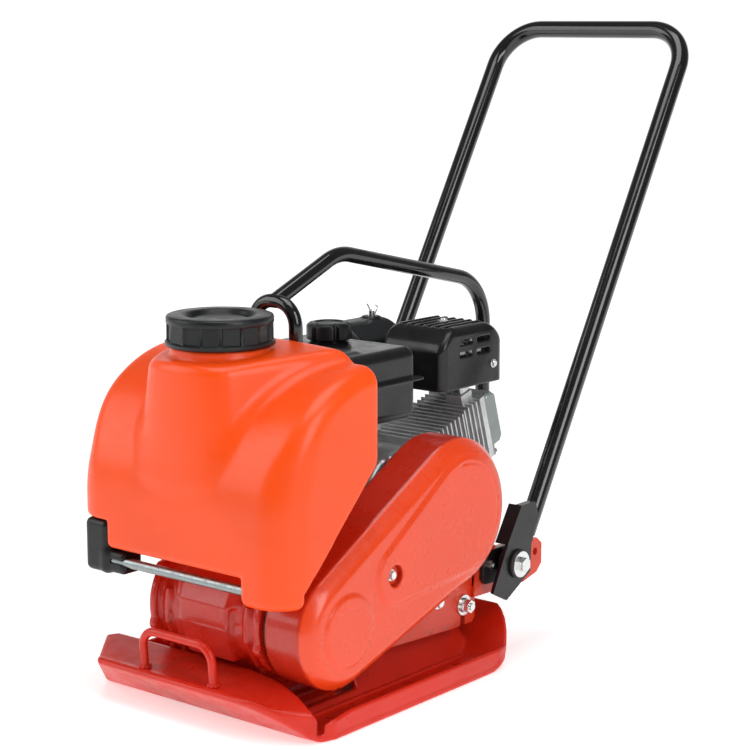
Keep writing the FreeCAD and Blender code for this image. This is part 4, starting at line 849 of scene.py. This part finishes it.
# CAD nodes kept with rounded edges, and the width of the rounding in millimetres
SOFTENED = {
    "engine_base": 1.2, "exciter_covers": 1.0, "exciter_bolts": 0.5, "exciter_pulley": 0.6,
    "mount_nuts": 0.5, "outer_bolts": 0.5, "shock_mounts": 1.0, "cylinder_barrel": 0.5, "cylinder_head": 0.6,
    "rocker_cover": 1.5, "fan_cover": 2.0, "recoil_cover": 3.0, "carburetor": 1.5, "air_cleaner_base": 1.5,
    "engine_bolts": 0.4, "oil_dipstick": 1.0, "throttle_lever": 0.6, "choke_lever": 0.5,
    "fuel_cock_lever": 0.5, "engine_switch": 0.8, "cock_lever": 0.6,
    "handle_brackets": 1.4, "handle_mounts": 1.5, "mount_screws": 0.4, "pivot_bolts": 0.6,
    "pivot_bushes": 1.2, "belt_cover_back": 0.5, "muffler": 3.0, "starter_grip": 0.6,
}

make_base_plate()
make_exciter()
make_tank()
make_cap()
make_corner_block()
make_belt_cover()
make_fuel_tank()
make_fuel_cap()
make_muffler_guard()
make_air_cleaner()
make_crankcase()
for node, width in SOFTENED.items():
    softened(node, width)
softened("sprinkler_pipe", 0.4, "pipe_steel")

# ------------------------------------------------------------ stage and camera

AWAY = (-0.57, 0.70, -0.42)     # from the camera towards the floor behind the object
DIM, BRIGHT = 0.14, 1.02        # strength of the studio on the near side and behind
CAMERA_PLACE = (1.790, -2.024, 0.909)
CAMERA_AIM = (-0.6236, 0.7618, -0.1754)
LENS = 95.8


def make_stage():
    """Pale floor under a studio that is white behind the object and dim on the near side."""
    world = bpy.data.worlds.new("studio")
    bpy.context.scene.world = world
    world.use_nodes = True
    tree = world.node_tree
    place = tree.nodes.new("ShaderNodeTexCoord")
    away = tree.nodes.new("ShaderNodeVectorMath")
    away.operation = "DOT_PRODUCT"
    away.inputs[1].default_value = AWAY
    tree.links.new(place.outputs["Generated"], away.inputs[0])
    ramp = tree.nodes.new("ShaderNodeMapRange")
    for key, number in zip(("From Min", "From Max", "To Min", "To Max"), (0.30, 0.88, DIM, BRIGHT)):
        ramp.inputs[key].default_value = number
    tree.links.new(away.outputs["Value"], ramp.inputs["Value"])
    tree.nodes["Background"].inputs["Color"].default_value = (1, 1, 1, 1)
    tree.links.new(ramp.outputs["Result"], tree.nodes["Background"].inputs["Strength"])
    bpy.ops.mesh.primitive_plane_add(size=60, location=(0, 0, 0))
    floor = bpy.context.object
    floor.name = "studio_floor"
    ground = Paint("studio_floor", (0.93, 0.93, 0.93), 0.9, Specular_IOR_Level=0.1)
    ground.colour(ground.mix(ground.noise(2.0), (0.92, 0.92, 0.92), (0.94, 0.94, 0.94)))
    ground.shader.inputs["Emission Color"].default_value = (1, 1, 1, 1)
    far = ground.tree.nodes.new("ShaderNodeVectorMath")
    far.operation = "LENGTH"
    ground.link(ground.place, far.inputs[0])
    glow = ground.span(far.outputs["Value"], 0.8, 4.0, 0.48, 0.92)
    ground.link(glow, ground.shader.inputs["Emission Strength"])
    floor.data.materials.append(ground.material)


def panel_light(name, place, aim, size, watts, tall=None):
    """Rectangular softbox aimed at a point."""
    lamp = bpy.data.lights.new(name, "AREA")
    lamp.shape = "RECTANGLE"
    lamp.size = size
    lamp.size_y = tall or size
    lamp.energy = watts
    holder = bpy.data.objects.new(name, lamp)
    bpy.context.scene.collection.objects.link(holder)
    holder.location = place
    holder.rotation_euler = (Vector(aim) - Vector(place)).to_track_quat("-Z", "Y").to_euler()


def make_camera():
    """Long lens from the right front, a little above the machine."""
    camera = bpy.data.cameras.new("camera")
    camera.sensor_width = 36
    camera.lens = LENS
    camera.clip_start = 0.05
    holder = bpy.data.objects.new("camera", camera)
    bpy.context.scene.collection.objects.link(holder)
    holder.location = CAMERA_PLACE
    holder.rotation_mode = "QUATERNION"
    holder.rotation_quaternion = Vector(CAMERA_AIM).to_track_quat("-Z", "Y")
    bpy.context.scene.camera = holder


bpy.context.scene.view_settings.view_transform = "Standard"
make_stage()
panel_light("left_box", (-1.9, -1.9, 1.7), (0, -0.05, 0.30), 2.2, 36)
panel_light("right_box", (2.3, -0.5, 1.6), (0, 0, 0.30), 1.1, 30, 1.8)
panel_light("top_box", (0.2, -0.2, 2.9), (0, 0, 0.30), 1.8, 34)
make_camera()
